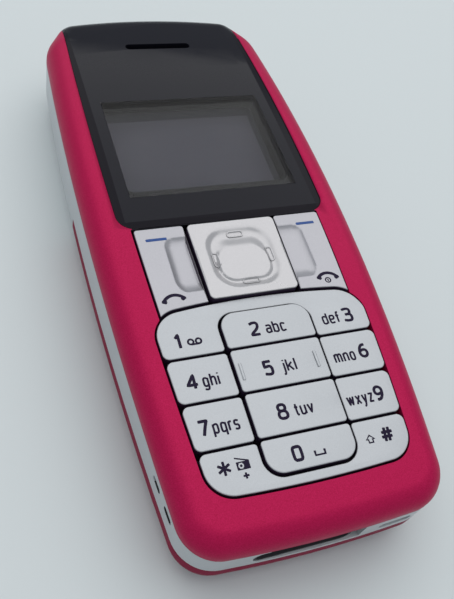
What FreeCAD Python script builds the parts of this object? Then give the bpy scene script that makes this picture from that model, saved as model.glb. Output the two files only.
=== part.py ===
import FreeCAD, Part

import math
import os

import Sketcher

# Bar mobile phone lying on its back. Millimetres. X runs across the phone, +Y towards the earpiece
# end, +Z out of the keypad. The origin is the middle of the flat back.

SIZES = {
    # outline seen from the front
    "phone_length": 105.2,
    "half_width": 21.9,
    "widest_y": 6.0,
    "side_radius": 600.0,
    "bottom_rise": 0.9,
    "top_rise": 1.6,
    "top_corner_x": 16.8,
    "shoulder_y": 44.4,
    "bottom_corner_round": 6.0,
    "shoulder_round": 9.0,
    "top_corner_round": 4.2,
    # front face, a shallow arc along the phone
    "crown_top": 17.9,
    "crown_radius": 560.0,
    "crown_y": -0.7,
    "cover_depth": 3.9,
    "cover_edge_round": 3.4,
    "cover_inner_bevel": 0.6,
    "window_inner_bevel": 1.7,
    "cover_wall": 1.3,
    "cover_roof": 2.2,
    # levels, upwards from the back
    "back_wall": 1.1,
    "back_round": 5.6,
    "inner_bevel": 3.0,
    "tub_bevel": 2.9,
    "band_low": 7.2,
    "band_wall": 1.5,
    "tray_floor": 0.8,
    "board_low": 9.6,
    "board_thickness": 1.0,
    "board_inset": 2.4,
    "mat_low": 13.0,
    "mat_thickness": 0.5,
    "post_depth": 0.5,
    # back cover and what it uncovers
    "split_side_y": 9.0,
    "split_middle_y": 15.0,
    "battery_width": 34.0,
    "battery_length": 50.0,
    "battery_thickness": 5.0,
    "battery_top_y": 8.0,
    "battery_round": 2.4,
    # window and display
    "window_half_width": 17.6,
    "window_side_radius": 690.0,
    "window_widest_y": 15.0,
    "window_bottom_y": -2.4,
    "window_round": 2.8,
    "window_thickness": 1.1,
    "window_end_wall": 0.7,
    "window_skirt": 1.6,
    "tape": 0.15,
    "tape_inset": 0.6,
    "mesh_pitch": 1.3,
    "mesh_hole": 0.4,
    "view_half_width": 14.3,
    "view_low_y": 5.6,
    "view_high_y": 27.0,
    "display_half_width": 16.4,
    "display_low_y": 2.6,
    "display_high_y": 30.2,
    "display_top": 13.2,
    "earpiece_y": 42.0,
    "earpiece_slot_width": 12.6,
    "earpiece_slot_height": 1.6,
    "earpiece_radius": 4.6,
    # keypad
    "pad_inset": 4.8,
    "pad_top_y": -18.6,
    "pad_top_rise": 1.2,
    "pad_low_y": -45.45,
    "pad_low_rise": 0.55,
    "pad_top_round": 4.2,
    "pad_low_round": 4.0,
    "row_one_y": -25.7,
    "row_pitch": 6.82,
    "column_half_width": 7.1,
    "column_taper": 0.016,
    "arch_top_y": -19.85,
    "arch_low_y": -44.3,
    "arch_round": 2.4,
    "key_proud": 0.3,
    "middle_proud": 0.7,
    "key_corner": 0.5,
    "key_outer_corner": 1.0,
    "key_edge_bevel": 0.25,
    "wing_inset": 6.35,
    "wing_top_y": -2.95,
    "nav_half_width": 7.25,
    "nav_taper": 0.014,
    "nav_top_y": -3.3,
    "nav_low_y": -17.15,
    "nav_proud": 0.8,
    "nav_corner": 0.8,
    "nav_lift": 0.3,
    "ring_width": 11.2,
    "ring_length": 11.0,
    "ring_round": 4.2,
    "ring_proud": 0.5,
    "ring_bevel": 0.3,
    "dish_width": 7.2,
    "dish_length": 6.0,
    "dish_shift": 0.5,
    "dish_round": 2.2,
    "dish_depth": 0.45,
    "dish_bevel": 0.35,
    "mark_proud": 0.12,
    "mark_width": 0.6,
    "mark_length": 2.6,
    "mark_x": 4.65,
    "mark_y": 4.45,
    "scoop_x": 8.2,
    "scoop_y": -10.0,
    "scoop_width": 6.4,
    "scoop_length": 10.4,
    "scoop_round": 2.6,
    "scoop_depth": 0.55,
    "wing_post_x": 11.8,
    "post_x": 11.6,
    "post_width": 5.0,
    "post_length": 4.0,
    "middle_post_width": 7.0,
    "arch_post_length": 3.0,
    "wing_post_length": 12.0,
    "ridge_proud": 0.15,
    "ridge_inset": 1.0,
    "ridge_thickness": 0.45,
    "ridge_run": 2.8,
    "skirt_wall": 0.8,
    "film_y": -24.0,
    "film_width": 29.2,
    "film_length": 39.6,
    "film_round": 2.0,
    "film_thickness": 0.1,
    "dome_radius": 2.0,
    "small_dome_radius": 1.6,
    "dome_height": 0.25,
    "pip_radius": 1.1,
    "wing_dome_reach": 4.5,
    "nav_post_reach": 4.6,
    "arm_length": 11.4,
    "arm_width": 3.0,
    "arm_round": 0.8,
    "arm_thickness": 0.6,
    "plunger_sunk": 0.2,
    "plunger_bar": 0.5,
    "plunger_length": 4.0,
    "ridge_width": 0.9,
    "ridge_length": 8.0,
    "ridge_round": 0.3,
    "rock_gap": 0.1,
    "nav_opening": 12.2,
    "nav_opening_round": 1.5,
    # bottom end
    "port_x": -2.8,
    "port_z": 9.7,
    "port_width": 14.4,
    "port_height": 3.2,
    "port_wall": 0.4,
    "port_floor": 0.4,
    "port_inset": 0.3,
    "charger_x": -5.6,
    "charger_bore_radius": 1.05,
    "headset_x": -0.6,
    "headset_bore_radius": 1.3,
    "jack_length": 6.6,
    "jack_width": 4.6,
    "jack_height": 3.5,
    "jack_bore_depth": 5.5,
    "microphone_x": 4.3,
    "microphone_radius": 1.5,
    "microphone_length": 2.0,
    "boot_wall": 0.4,
    "eyelet_x": 11.6,
    "eyelet_width": 5.2,
    "eyelet_height": 1.7,
    "eyelet_depth": 2.4,
    "eyelet_z": 9.3,
    "strap_bar_radius": 0.45,
    "sound_slot_y": -40.0,
    "sound_slot_pitch": 4.4,
    "sound_slot_length": 2.6,
    "sound_slot_height": 1.1,
    "sound_slot_z": 10.6,
    "speaker_x": -12.0,
    "speaker_y": -46.0,
    "speaker_width": 7.2,
    "speaker_length": 6.4,
    "speaker_low": 5.2,
    "speaker_height": 4.0,
    # inside the casing
    "lip_height": 1.0,
    "lip_foot": 0.8,
    "lip_wall": 0.75,
    "screw_radius": 0.55,
    "screw_head_radius": 1.1,
    "screw_head_height": 0.7,
    "screw_depth": 1.5,
    "boss_radius": 1.6,
    "frame_wall": 0.6,
    "glass_thickness": 1.4,
    "shield_height": 1.5,
    "motor_x": 15.4,
    "motor_z": 11.0,
    "motor_radius": 2.0,
    "motor_low_y": 31.6,
    "motor_length": 8.6,
    "weight_radius": 2.3,
    "weight_length": 3.4,
    "shaft_radius": 0.4,
    "sim_y": -8.0,
    "sim_width": 15.0,
    "sim_length": 25.0,
    "sim_thickness": 0.76,
    "cell_radius": 2.4,
    "cell_height": 1.6,
    "antenna_low_y": 29.0,
    "antenna_thickness": 0.15,
    # latch of the back cover
    "cover_travel": 12.0,
    "rail_low_y": -32.0,
    "rail_top_y": -2.0,
    "rail_length": 8.0,
    "rail_low": 5.0,
    "rail_height": 0.8,
    "rail_reach": 0.6,
    "tongue_width": 8.0,
    "tongue_thickness": 0.6,
    "tongue_top_y": 18.6,
    "button_y": 22.6,
    "button_width": 9.0,
    "button_length": 5.0,
    "button_sunk": 0.15,
    "button_travel": 0.8,
    "flange_thickness": 0.8,
    "spring_thickness": 0.25,
    "spring_foot": 0.9,
    "spring_reach": 4.2,
    # clearances
    "seam_gap": 0.1,
    "part_gap": 0.15,
    "joint_overlap": 0.2,
    "slide_gap": 0.3,
    "key_gap": 0.4,
    "key_side_gap": 0.3,
    "press_travel": 0.3,
    "press_room": 0.35,
}


class Size:
    """A length together with the sheet expression that gives it."""

    def __init__(self, value, text):
        self.value = float(value)
        self.text = text

    def __add__(self, other):
        other = size(other)
        return Size(self.value + other.value, f"({self.text} + {other.text})")

    def __sub__(self, other):
        other = size(other)
        return Size(self.value - other.value, f"({self.text} - {other.text})")

    def __mul__(self, other):
        other = size(other)
        return Size(self.value * other.value, f"({self.text} * {other.text})")

    def __truediv__(self, other):
        other = size(other)
        return Size(self.value / other.value, f"({self.text} / {other.text})")

    def __neg__(self):
        return Size(-self.value, f"(0 - {self.text})")

    def __radd__(self, other):
        return size(other) + self

    def __rsub__(self, other):
        return size(other) - self

    def __rmul__(self, other):
        return size(other) * self


def size(number):
    return number if isinstance(number, Size) else Size(number, f"({number})")


def root(square):
    return Size(math.sqrt(square.value), f"sqrt({square.text})")


doc = FreeCAD.newDocument("phone")


def make_sheet(sizes):
    """Writes the driving sizes into a sheet and returns them by name."""
    sheet = doc.addObject("Spreadsheet::Sheet", "dims")
    bound = {}
    for row, (alias, number) in enumerate(sizes.items(), start=1):
        sheet.set(f"A{row}", alias.replace("_", " "))
        sheet.set(f"B{row}", str(number))
        sheet.setAlias(f"B{row}", alias)
        bound[alias] = Size(number, f"dims.{alias}")
    doc.recompute()
    return bound


class Named:
    """Gives the sizes as attributes, so that a formula reads well."""

    def __init__(self, bound):
        self.__dict__.update(bound)


d = Named(make_sheet(SIZES))
PLANES = {"XY": "XY_Plane", "XZ": "XZ_Plane", "YZ": "YZ_Plane"}
WIDE = size(60)


def circle(x, y, radius):
    """A circle for a sketch."""
    return ("circle", size(x), size(y), size(radius))


def path(*corners):
    """A closed outline, anticlockwise: (x, y) starts a straight edge and (x, y, radius) an arc, which
    bulges outwards when the radius is positive."""
    return [tuple(size(number) for number in corner) for corner in corners]


def box(x, y, width, height):
    half, tall = size(width) / 2, size(height) / 2
    x, y = size(x), size(y)
    return path((x - half, y - tall), (x + half, y - tall), (x + half, y + tall), (x - half, y + tall))


def rounded(x, y, width, height, radius):
    half, tall, r = size(width) / 2, size(height) / 2, size(radius)
    x, y = size(x), size(y)
    return path(
        (x - half + r, y - tall), (x + half - r, y - tall, r),
        (x + half, y - tall + r), (x + half, y + tall - r, r),
        (x + half - r, y + tall), (x - half + r, y + tall, r),
        (x - half, y + tall - r), (x - half, y - tall + r, r),
    )


def slot(x, y, width, height):
    """A slot with round ends, each of two quarter arcs."""
    r = size(height) / 2
    half = size(width) / 2 - r
    x, y = size(x), size(y)
    return path(
        (x - half, y - r), (x + half, y - r, r), (x + half + r, y, r),
        (x + half, y + r), (x - half, y + r, r), (x - half - r, y, r),
    )


def arc_centre(start, end, radius):
    """Centre of the arc that turns left from start to end, or right when the radius is negative."""
    (ax, ay), (bx, by) = start, end
    chord = math.hypot(bx - ax, by - ay)
    reach = math.sqrt(max(radius * radius - chord * chord / 4, 0)) * (1 if radius > 0 else -1)
    return (ax + bx) / 2 - (by - ay) / chord * reach, (ay + by) / 2 + (bx - ax) / chord * reach


def edge_shape(start, end, radius):
    if radius is None:
        return Part.LineSegment(FreeCAD.Vector(*start, 0), FreeCAD.Vector(*end, 0)), (1, 2)
    cx, cy = arc_centre(start, end, radius)
    first, last = (start, end) if radius > 0 else (end, start)
    angles = [math.atan2(y - cy, x - cx) for x, y in (first, last)]
    full = Part.Circle(FreeCAD.Vector(cx, cy, 0), FreeCAD.Vector(0, 0, 1), abs(radius))
    return Part.ArcOfCircle(full, *angles), ((1, 2) if radius > 0 else (2, 1))


class Piece:
    """A PartDesign body whose sketches and features are bound to the sheet."""

    def __init__(self, name):
        self.body = doc.addObject("PartDesign::Body", name)
        self.body.Label = name
        self.made = 0

    def name(self, kind):
        self.made += 1
        return f"{self.body.Name}_{kind}{self.made}"

    def bind(self, sketch, kind, values, length):
        index = sketch.addConstraint(Sketcher.Constraint(kind, *values, length.value))
        sketch.setExpression(f"Constraints[{index}]", length.text)

    def draw_circle(self, sketch, x, y, radius):
        centre = FreeCAD.Vector(x.value, y.value, 0)
        index = sketch.addGeometry(Part.Circle(centre, FreeCAD.Vector(0, 0, 1), radius.value), False)
        self.bind(sketch, "DistanceX", (-1, 1, index, 3), x)
        self.bind(sketch, "DistanceY", (-1, 1, index, 3), y)
        self.bind(sketch, "Radius", (index,), radius)

    def draw_path(self, sketch, corners):
        edges = []
        for corner, following in zip(corners, corners[1:] + corners[:1]):
            start, end = [(c[0].value, c[1].value) for c in (corner, following)]
            radius = corner[2].value if len(corner) > 2 else None
            shape, ends = edge_shape(start, end, radius)
            edges.append((sketch.addGeometry(shape, False), ends))
        for (index, ends), (after, after_ends) in zip(edges, edges[1:] + edges[:1]):
            sketch.addConstraint(Sketcher.Constraint("Coincident", index, ends[1], after, after_ends[0]))
        for corner, (index, ends) in zip(corners, edges):
            self.bind(sketch, "DistanceX", (-1, 1, index, ends[0]), corner[0])
            self.bind(sketch, "DistanceY", (-1, 1, index, ends[0]), corner[1])
            if len(corner) > 2:
                turn = corner[2] if corner[2].value > 0 else -corner[2]
                self.bind(sketch, "Radius", (index,), turn)

    def sketch(self, plane, lift, loops):
        sketch = self.body.newObject("Sketcher::SketchObject", self.name("sketch"))
        origin = [p for p in self.body.Origin.OriginFeatures if p.Role == PLANES[plane]][0]
        sketch.AttachmentSupport = [(origin, "")]
        sketch.MapMode = "FlatFace"
        sketch.setExpression("AttachmentOffset.Base.z", lift.text)
        for loop in loops:
            if loop[0] == "circle":
                self.draw_circle(sketch, *loop[1:])
            else:
                self.draw_path(sketch, loop)
        return sketch

    def pad(self, plane, low, high, *loops, taper=None):
        """Adds the outline between two levels along the axis that the plane faces."""
        low, high = size(low), size(high)
        lift = -high if plane == "XZ" else low
        feature = self.body.newObject("PartDesign::Pad", self.name("pad"))
        feature.Profile = self.sketch(plane, lift, loops)
        feature.setExpression("Length", (high - low).text)
        if taper:
            feature.TaperAngle = taper
        doc.recompute()
        return self

    def cut(self, plane, low, high, *loops):
        """Cuts the outline away between two levels along the axis that the plane faces."""
        low, high = size(low), size(high)
        lift = -low if plane == "XZ" else high
        before = self.body.Shape.Volume
        feature = self.body.newObject("PartDesign::Pocket", self.name("cut"))
        feature.Profile = self.sketch(plane, lift, loops)
        feature.setExpression("Length", (high - low).text)
        doc.recompute()
        if not before - self.body.Shape.Volume > 1e-4:
            raise RuntimeError(f"{feature.Name} cuts nothing")
        return self

    def dress(self, kind, amount, wanted):
        """Rounds or chamfers the edges that the test picks, on what the body is by now."""
        base = self.body.Tip
        names = [f"Edge{n}" for n, e in enumerate(base.Shape.Edges, start=1) if wanted(e)]
        if not names:
            raise RuntimeError(f"{self.body.Name}: no edge to dress")
        feature = self.body.newObject(f"PartDesign::{kind}", self.name(kind.lower()))
        feature.Base = (base, names)
        prop = "Radius" if kind == "Fillet" else "Size"
        feature.setExpression(prop, size(amount).text)
        doc.recompute()
        return self

    def round(self, amount, wanted):
        return self.dress("Fillet", amount, wanted)

    def bevel(self, amount, wanted):
        return self.dress("Chamfer", amount, wanted)

    def rim(self, side, amount, kind="Fillet"):
        """Rounds the whole edge of the face that lies furthest along a direction."""
        face = furthest_face(self.body.Tip.Shape, side)
        edges = [e.hashCode() for e in face.Edges]
        return self.dress(kind, amount, lambda e: e.hashCode() in edges)


def furthest_face(shape, side):
    return max(shape.Faces, key=lambda f: f.CenterOfMass.dot(FreeCAD.Vector(*side)))


def upright(x=None, y=None, near=1.0):
    """A test for straight edges along Z, near a place when one is given."""

    def wanted(edge):
        if not isinstance(edge.Curve, Part.Line) or abs(edge.Curve.Direction.z) < 0.999:
            return False
        place = edge.CenterOfMass
        beside = x is None or min(abs(place.x - x.value), abs(place.x + x.value)) < near
        return beside and (y is None or abs(place.y - y.value) < near)

    return wanted


def joined(kind, name, base, *tools):
    """A boolean of whole objects: Cut takes the tools off the base, Common and Fuse join them."""
    result = base
    for number, tool in enumerate(tools, start=1):
        last = number == len(tools)
        feature = doc.addObject(f"Part::{kind}", name if last else f"{name}_{kind.lower()}{number}")
        feature.Base = getattr(result, "body", result)
        feature.Tool = getattr(tool, "body", tool)
        feature.Refine = True
        result = feature
    result.Label = name
    doc.recompute()
    return result


def cut(name, base, *tools):
    return joined("Cut", name, base, *tools)


def common(name, base, *tools):
    return joined("Common", name, base, *tools)


def fuse(name, base, *tools):
    return joined("Fuse", name, base, *tools)


# The outline and the crown, which every shell follows


def side_x(y, inset=0):
    """Half the width of the outline at a place along the phone."""
    y, radius = size(y) - d.widest_y, d.side_radius - inset
    return d.half_width - d.side_radius + root(radius * radius - y * y)


def crown_z(y, depth=0):
    """Height of the surface that lies a depth under the front face."""
    y, radius = size(y) - d.crown_y, d.crown_radius - depth
    return d.crown_top - d.crown_radius + root(radius * radius - y * y)


def rise_radius(half_chord, rise):
    return (half_chord * half_chord + rise * rise) / (rise * 2)


def outline(inset=0):
    """The phone's outline, drawn in by an inset, with sharp corners that are rounded on the solid."""
    inset = size(inset)
    low_y = -(d.phone_length / 2) + d.bottom_rise + inset
    high_y = d.phone_length / 2 - d.top_rise - inset
    low_x, shoulder_x = side_x(low_y, inset), side_x(d.shoulder_y, inset)
    top_x = d.top_corner_x - inset * 0.8
    side = d.side_radius - inset
    return path(
        (-low_x, low_y, rise_radius(low_x, d.bottom_rise)),
        (low_x, low_y, side),
        (shoulder_x, d.shoulder_y),
        (top_x, high_y, rise_radius(top_x, d.top_rise)),
        (-top_x, high_y),
        (-shoulder_x, d.shoulder_y, side),
    )


def slab(name, inset, low, high, top_round=None):
    """The outline as a solid between two levels, with its corners rounded."""
    inset = size(inset)
    piece = Piece(name).pad("XY", low, high, outline(inset))
    low_y = -(d.phone_length / 2) + d.bottom_rise + inset
    high_y = d.phone_length / 2 - d.top_rise - inset
    piece.round(d.bottom_corner_round - inset, upright(y=low_y))
    piece.round(d.shoulder_round - inset, upright(y=d.shoulder_y))
    piece.round(top_round or d.top_corner_round - inset, upright(y=high_y))
    return piece


def crown_cut(piece, depth=0, reach=30):
    """Takes away what stands above the surface that lies a depth under the front face."""
    end = size(58)
    above = path(
        (-end, crown_z(-end, depth), depth - d.crown_radius),
        (end, crown_z(end, depth)), (end, 40), (-end, 40),
    )
    return piece.cut("YZ", -reach, reach, above)


def crown_keep(piece, depth, reach=30):
    """Takes away what hangs below the surface that lies a depth under the front face."""
    end = size(58)
    below = path(
        (-end, -9), (end, -9), (end, crown_z(end, depth), d.crown_radius - depth),
        (-end, crown_z(-end, depth)),
    )
    return piece.cut("YZ", -reach, reach, below)


def region(name, *loops, low=-2, high=24):
    """A tall prism used to keep or to take away part of another solid."""
    return Piece(name).pad("XY", low, high, *loops)


def group(name, members):
    """Like pieces that share a node as separate solids."""
    feature = doc.addObject("Part::Compound", name)
    feature.Links = [getattr(member, "body", member) for member in members]
    feature.Label = name
    doc.recompute()
    return feature


NODES = []


def node(feature):
    """Marks an object as a sub-part that is written out."""
    NODES.append(getattr(feature, "body", feature))
    return feature


# Levels that follow from the sheet

back_low = d.back_wall + d.slide_gap
tongue_low = d.back_wall + d.part_gap
tongue_high = tongue_low + d.tongue_thickness
battery_low = tongue_high + d.part_gap
cavity_low = battery_low + d.battery_thickness + d.part_gap
tray_high = cavity_low + d.tray_floor
board_high = d.board_low + d.board_thickness
film_high = board_high + d.film_thickness
dome_high = film_high + d.dome_height
pip_low = dome_high + d.press_room
mat_high = d.mat_low + d.mat_thickness
key_low = mat_high + d.press_travel + d.rock_gap
nav_low = key_low + d.nav_lift
post_low = d.mat_low - d.post_depth
high = d.crown_top + 3
end_y = d.phone_length / 2
row_two_y = d.row_one_y - d.row_pitch
row_three_y = row_two_y - d.row_pitch
half_gap = d.key_gap / 2
port_back = -end_y + d.band_wall + 0.1
jack_end = port_back + d.jack_length
jack_low_x = d.charger_x - d.jack_width / 2
jack_high_x = d.microphone_x + d.microphone_radius + d.boot_wall


# Front cover and window


def window_outline(inset=0):
    """The window's edge: slightly barrelled sides, open past the top end of the phone."""
    inset = size(inset)
    radius = d.window_side_radius - inset

    def edge_x(y):
        y = size(y) - d.window_widest_y
        return d.window_half_width - d.window_side_radius + root(radius * radius - y * y)

    low_y, top_y = d.window_bottom_y + inset, end_y + 2
    return path(
        (-edge_x(low_y), low_y), (edge_x(low_y), low_y, radius),
        (edge_x(top_y), top_y), (-edge_x(top_y), top_y, radius),
    )


def outer_block():
    """The closed form of the front."""
    return crown_cut(slab("cover_block", 0, d.band_low, high)).rim((0, 0, 1), d.cover_edge_round)


def inner_block(name, inset, depth, bevel):
    """The front's form drawn in by an inset and lowered by a depth, for the hidden side of a wall."""
    return crown_cut(slab(name, inset, d.band_low, high), depth).rim((0, 0, 1), bevel, "Chamfer")


def view_opening():
    width, height = d.view_half_width * 2, d.view_high_y - d.view_low_y
    return rounded(0, (d.view_high_y + d.view_low_y) / 2, width, height, 1.5)


def earpiece_slot(grow=0):
    return slot(0, d.earpiece_y, d.earpiece_slot_width + grow, d.earpiece_slot_height + grow)


def pad_outline(grow=0):
    """Outline of the number keys as a group."""
    inset = d.pad_inset - grow
    top_y, low_y = d.pad_top_y + grow, d.pad_low_y - grow
    top_x, low_x = side_x(top_y, inset), side_x(low_y, inset)
    radius = d.side_radius - inset
    return path(
        (-low_x, low_y, rise_radius(low_x, d.pad_low_rise)), (low_x, low_y, radius),
        (top_x, top_y, rise_radius(top_x, d.pad_top_rise)), (-top_x, top_y, radius),
    )


def pad_block(name, grow, low, top):
    """The number keys' outline as a solid with its round corners."""
    grow = size(grow)
    piece = Piece(name).pad("XY", low, top, pad_outline(grow))
    piece.round(d.pad_top_round + grow, upright(y=d.pad_top_y + grow))
    return piece.round(d.pad_low_round + grow, upright(y=d.pad_low_y - grow))


def wing_outline(grow=0):
    """Outline of the two function keys and the navigation key as a group."""
    inset = d.wing_inset - grow
    top_y, low_y = d.wing_top_y + grow, d.pad_top_y - 2
    radius = d.side_radius - inset
    return path(
        (-side_x(low_y, inset), low_y), (side_x(low_y, inset), low_y, radius),
        (side_x(top_y, inset), top_y), (-side_x(top_y, inset), top_y, radius),
    )


def front_cover_and_window():
    block = outer_block()
    lower_edge = Piece("cover_under").pad("XY", -2, high, box(0, 0, WIDE, WIDE * 2))
    crown_cut(lower_edge, d.cover_depth)
    core = inner_block("cover_core", d.cover_wall, d.cover_roof, d.cover_inner_bevel)
    shell = cut("cover_shell", block, core, lower_edge)
    low = crown_z(end_y) - d.window_skirt - d.window_thickness
    seat = region("window_seat", window_outline(-d.seam_gap), low=low - d.seam_gap, high=high)
    seat.round(d.window_round + d.seam_gap, upright(y=d.window_bottom_y - d.seam_gap))
    seat_depth = d.window_thickness + d.tape
    seat_floor = inner_block("window_seat_floor", d.window_end_wall + d.seam_gap, seat_depth, d.window_inner_bevel)
    recess = cut("window_recess", seat, seat_floor)
    view = region("view_hole", view_opening(), earpiece_slot(0.4))
    pads = pad_block("pad_hole", d.key_side_gap, -2, high)
    wings = region("wing_hole", wing_outline(d.key_side_gap))
    node(cut("front_cover", shell, recess, view, pads, wings))
    prism = region("window_prism", window_outline(), low=low, high=high)
    prism.round(d.window_round, upright(y=d.window_bottom_y))
    inner = inner_block("window_inner", d.window_end_wall, d.window_thickness, d.window_inner_bevel)
    ear = region("window_slot", earpiece_slot())
    node(cut("display_window", common("window_shape", block, prism), inner, ear))
    tape = Piece("window_adhesive").pad(
        "XY", d.board_low, high, window_outline(d.tape_inset), view_opening(), earpiece_slot(1.2)
    )
    tape.cut("XY", d.board_low, high, box(0, end_y, WIDE, 10.4))
    crown_cut(tape, d.window_thickness + 0.02)
    crown_keep(tape, d.window_thickness + d.tape - 0.02)
    node(tape)
    mesh = Piece("earpiece_mesh").pad("XY", d.board_low, high, earpiece_slot(0.3))
    crown_cut(mesh, d.window_thickness + d.tape)
    crown_keep(mesh, d.cover_roof)
    holes = [circle(d.mesh_pitch * (n - 4), d.earpiece_y, d.mesh_hole) for n in range(9)]
    mesh.cut("XY", d.board_low, high, *holes)
    node(mesh)
    return lower_edge


# Keys


def column_x(y):
    """Half the width of the middle column at a place along the phone."""
    return d.column_half_width + (size(y) - d.row_one_y) * d.column_taper


def nav_x(y):
    """Half the width of the navigation key at a place along the phone."""
    return d.nav_half_width + (size(y) - d.nav_top_y) * d.nav_taper


def side_key(low_y, high_y, right):
    """A key of the outer columns, with the outline's barrelled side."""
    inner = [column_x(y) + half_gap for y in (low_y, high_y)]
    outer = [side_x(y, d.pad_inset) for y in (low_y, high_y)]
    radius = d.side_radius - d.pad_inset
    if right:
        return path((inner[0], low_y), (outer[0], low_y, radius), (outer[1], high_y), (inner[1], high_y))
    return path((-outer[0], low_y), (-inner[0], low_y), (-inner[1], high_y), (-outer[1], high_y, radius))


def middle_key(low_y, high_y):
    low_x, high_x = column_x(low_y) - half_gap, column_x(high_y) - half_gap
    return path((-low_x, low_y), (low_x, low_y), (high_x, high_y), (-high_x, high_y))


def post(piece, x, y, width, height):
    """The rubber post under a key and the pip that ends above the dome."""
    piece.pad("XY", post_low, key_low, box(x, y, width, height))
    return piece.pad("XY", pip_low, post_low, circle(x, y, d.pip_radius))


def cap(name, plan, rounds, proud):
    """A keycap with the crown of the cover, standing a little proud of it."""
    piece = Piece(name).pad("XY", key_low, high, plan)
    for radius, x, y in rounds:
        piece.round(radius, upright(x, y))
    sharp = sharp_uprights(piece.body.Tip.Shape)
    if sharp:
        piece.dress("Fillet", d.key_corner, lambda e: e.hashCode() in sharp)
    crown_cut(piece, -proud)
    return piece.rim((0, 0, 1), d.key_edge_bevel, "Chamfer")


def sharp_uprights(shape):
    """Upright edges whose two faces meet at a real corner."""
    found = []
    for edge in shape.Edges:
        if not upright()(edge):
            continue
        faces = shape.ancestorsOfType(edge, Part.Face)
        place = edge.CenterOfMass
        normals = [f.normalAt(*f.Surface.parameter(place)) for f in faces]
        if len(normals) == 2 and normals[0].dot(normals[1]) < 0.97:
            found.append(edge.hashCode())
    return found


POSTS = []


def key_posts(piece, *places):
    """Adds posts to a key and notes their openings in the mat."""
    for x, y, width, height in places:
        post(piece, x, y, width, height)
        POSTS.append(box(x, y, width + d.slide_gap * 2, height + d.slide_gap * 2))
    return node(piece)


def number_keys():
    rows = {
        "one": (d.row_one_y, row_two_y),
        "two": (row_two_y, row_three_y),
    }
    names = {("one", -1): "key_4", ("one", 0): "key_5", ("one", 1): "key_6",
             ("two", -1): "key_7", ("two", 0): "key_8", ("two", 1): "key_9"}
    for (row, column), name in names.items():
        top, low = rows[row]
        low_y, high_y = low + half_gap, top - half_gap
        middle_y = (low_y + high_y) / 2
        if column:
            rounds = [(d.key_outer_corner, side_x(y, d.pad_inset), y) for y in (low_y, high_y)]
            key = cap(name, side_key(low_y, high_y, column > 0), rounds, d.key_proud)
        else:
            key = cap(name, middle_key(low_y, high_y), [], d.middle_proud)
        if name == "key_5":
            for side in (-1, 1):
                x = (column_x(middle_y) - half_gap - d.ridge_inset) * side
                top_z = crown_z(middle_y, -d.middle_proud)
                ridge = slot_upright(x, middle_y, d.ridge_thickness, d.ridge_run)
                key.pad("XY", top_z - d.ridge_proud, top_z + d.ridge_proud, ridge)
        key_posts(key, (size(d.post_x) * column, middle_y, d.post_width, d.post_length))
    low_y = d.row_one_y + half_gap
    rounds = [(d.arch_round, column_x(d.arch_top_y), d.arch_top_y)]
    two = cap("key_2", middle_key(low_y, d.arch_top_y), rounds, d.middle_proud)
    key_posts(two, (0, (low_y + d.arch_top_y) / 2, d.middle_post_width, d.arch_post_length))
    high_y = row_three_y - half_gap
    rounds = [(d.arch_round, column_x(d.arch_low_y), d.arch_low_y)]
    zero = cap("key_0", middle_key(d.arch_low_y, high_y), rounds, d.middle_proud)
    key_posts(zero, (0, (high_y + d.arch_low_y) / 2, d.middle_post_width, d.arch_post_length))


def arch_keys():
    """The two keys that reach round a middle key: 1 with 3, and star with hash."""
    radius = d.side_radius - d.pad_inset
    top_x, low_x = side_x(d.pad_top_y, d.pad_inset), side_x(d.pad_low_y, d.pad_inset)
    edge_y, inner_y = d.row_one_y + half_gap, d.arch_top_y + d.key_gap
    side, column, neck = side_x(edge_y, d.pad_inset), column_x(edge_y) + half_gap, column_x(inner_y) + half_gap
    plan = path(
        (-side, edge_y), (-column, edge_y), (-neck, inner_y), (neck, inner_y), (column, edge_y),
        (side, edge_y, radius), (top_x, d.pad_top_y, rise_radius(top_x, d.pad_top_rise)),
        (-top_x, d.pad_top_y, radius),
    )
    upper = cap("key_1_3", plan, [
        (d.pad_top_round, top_x, d.pad_top_y), (d.arch_round + d.key_gap, neck, inner_y),
        (d.key_outer_corner, side, edge_y),
    ], d.key_proud)
    y = (edge_y + d.arch_top_y) / 2
    key_posts(upper, *[(d.post_x * side, y, d.post_width, d.arch_post_length) for side in (-1, 1)])
    edge_y, inner_y = row_three_y - half_gap, d.arch_low_y - d.key_gap
    side, column, neck = side_x(edge_y, d.pad_inset), column_x(edge_y) + half_gap, column_x(inner_y) + half_gap
    plan = path(
        (-low_x, d.pad_low_y, rise_radius(low_x, d.pad_low_rise)), (low_x, d.pad_low_y, radius),
        (side, edge_y), (column, edge_y), (neck, inner_y), (-neck, inner_y), (-column, edge_y),
        (-side, edge_y, radius),
    )
    lower = cap("key_star_hash", plan, [
        (d.pad_low_round, low_x, d.pad_low_y), (d.arch_round + d.key_gap, neck, inner_y),
        (d.key_outer_corner, side, edge_y),
    ], d.key_proud)
    y = (edge_y + d.arch_low_y) / 2
    key_posts(lower, *[(d.post_x * side, y, d.post_width, d.arch_post_length) for side in (-1, 1)])


def slot_upright(x, y, width, length):
    """A slot whose long way runs along the phone."""
    r = size(width) / 2
    half = size(length) / 2 - r
    x, y = size(x), size(y)
    return path(
        (x - r, y - half, r), (x, y - half - r, r), (x + r, y - half),
        (x + r, y + half, r), (x, y + half + r, r), (x - r, y + half),
    )


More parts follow.
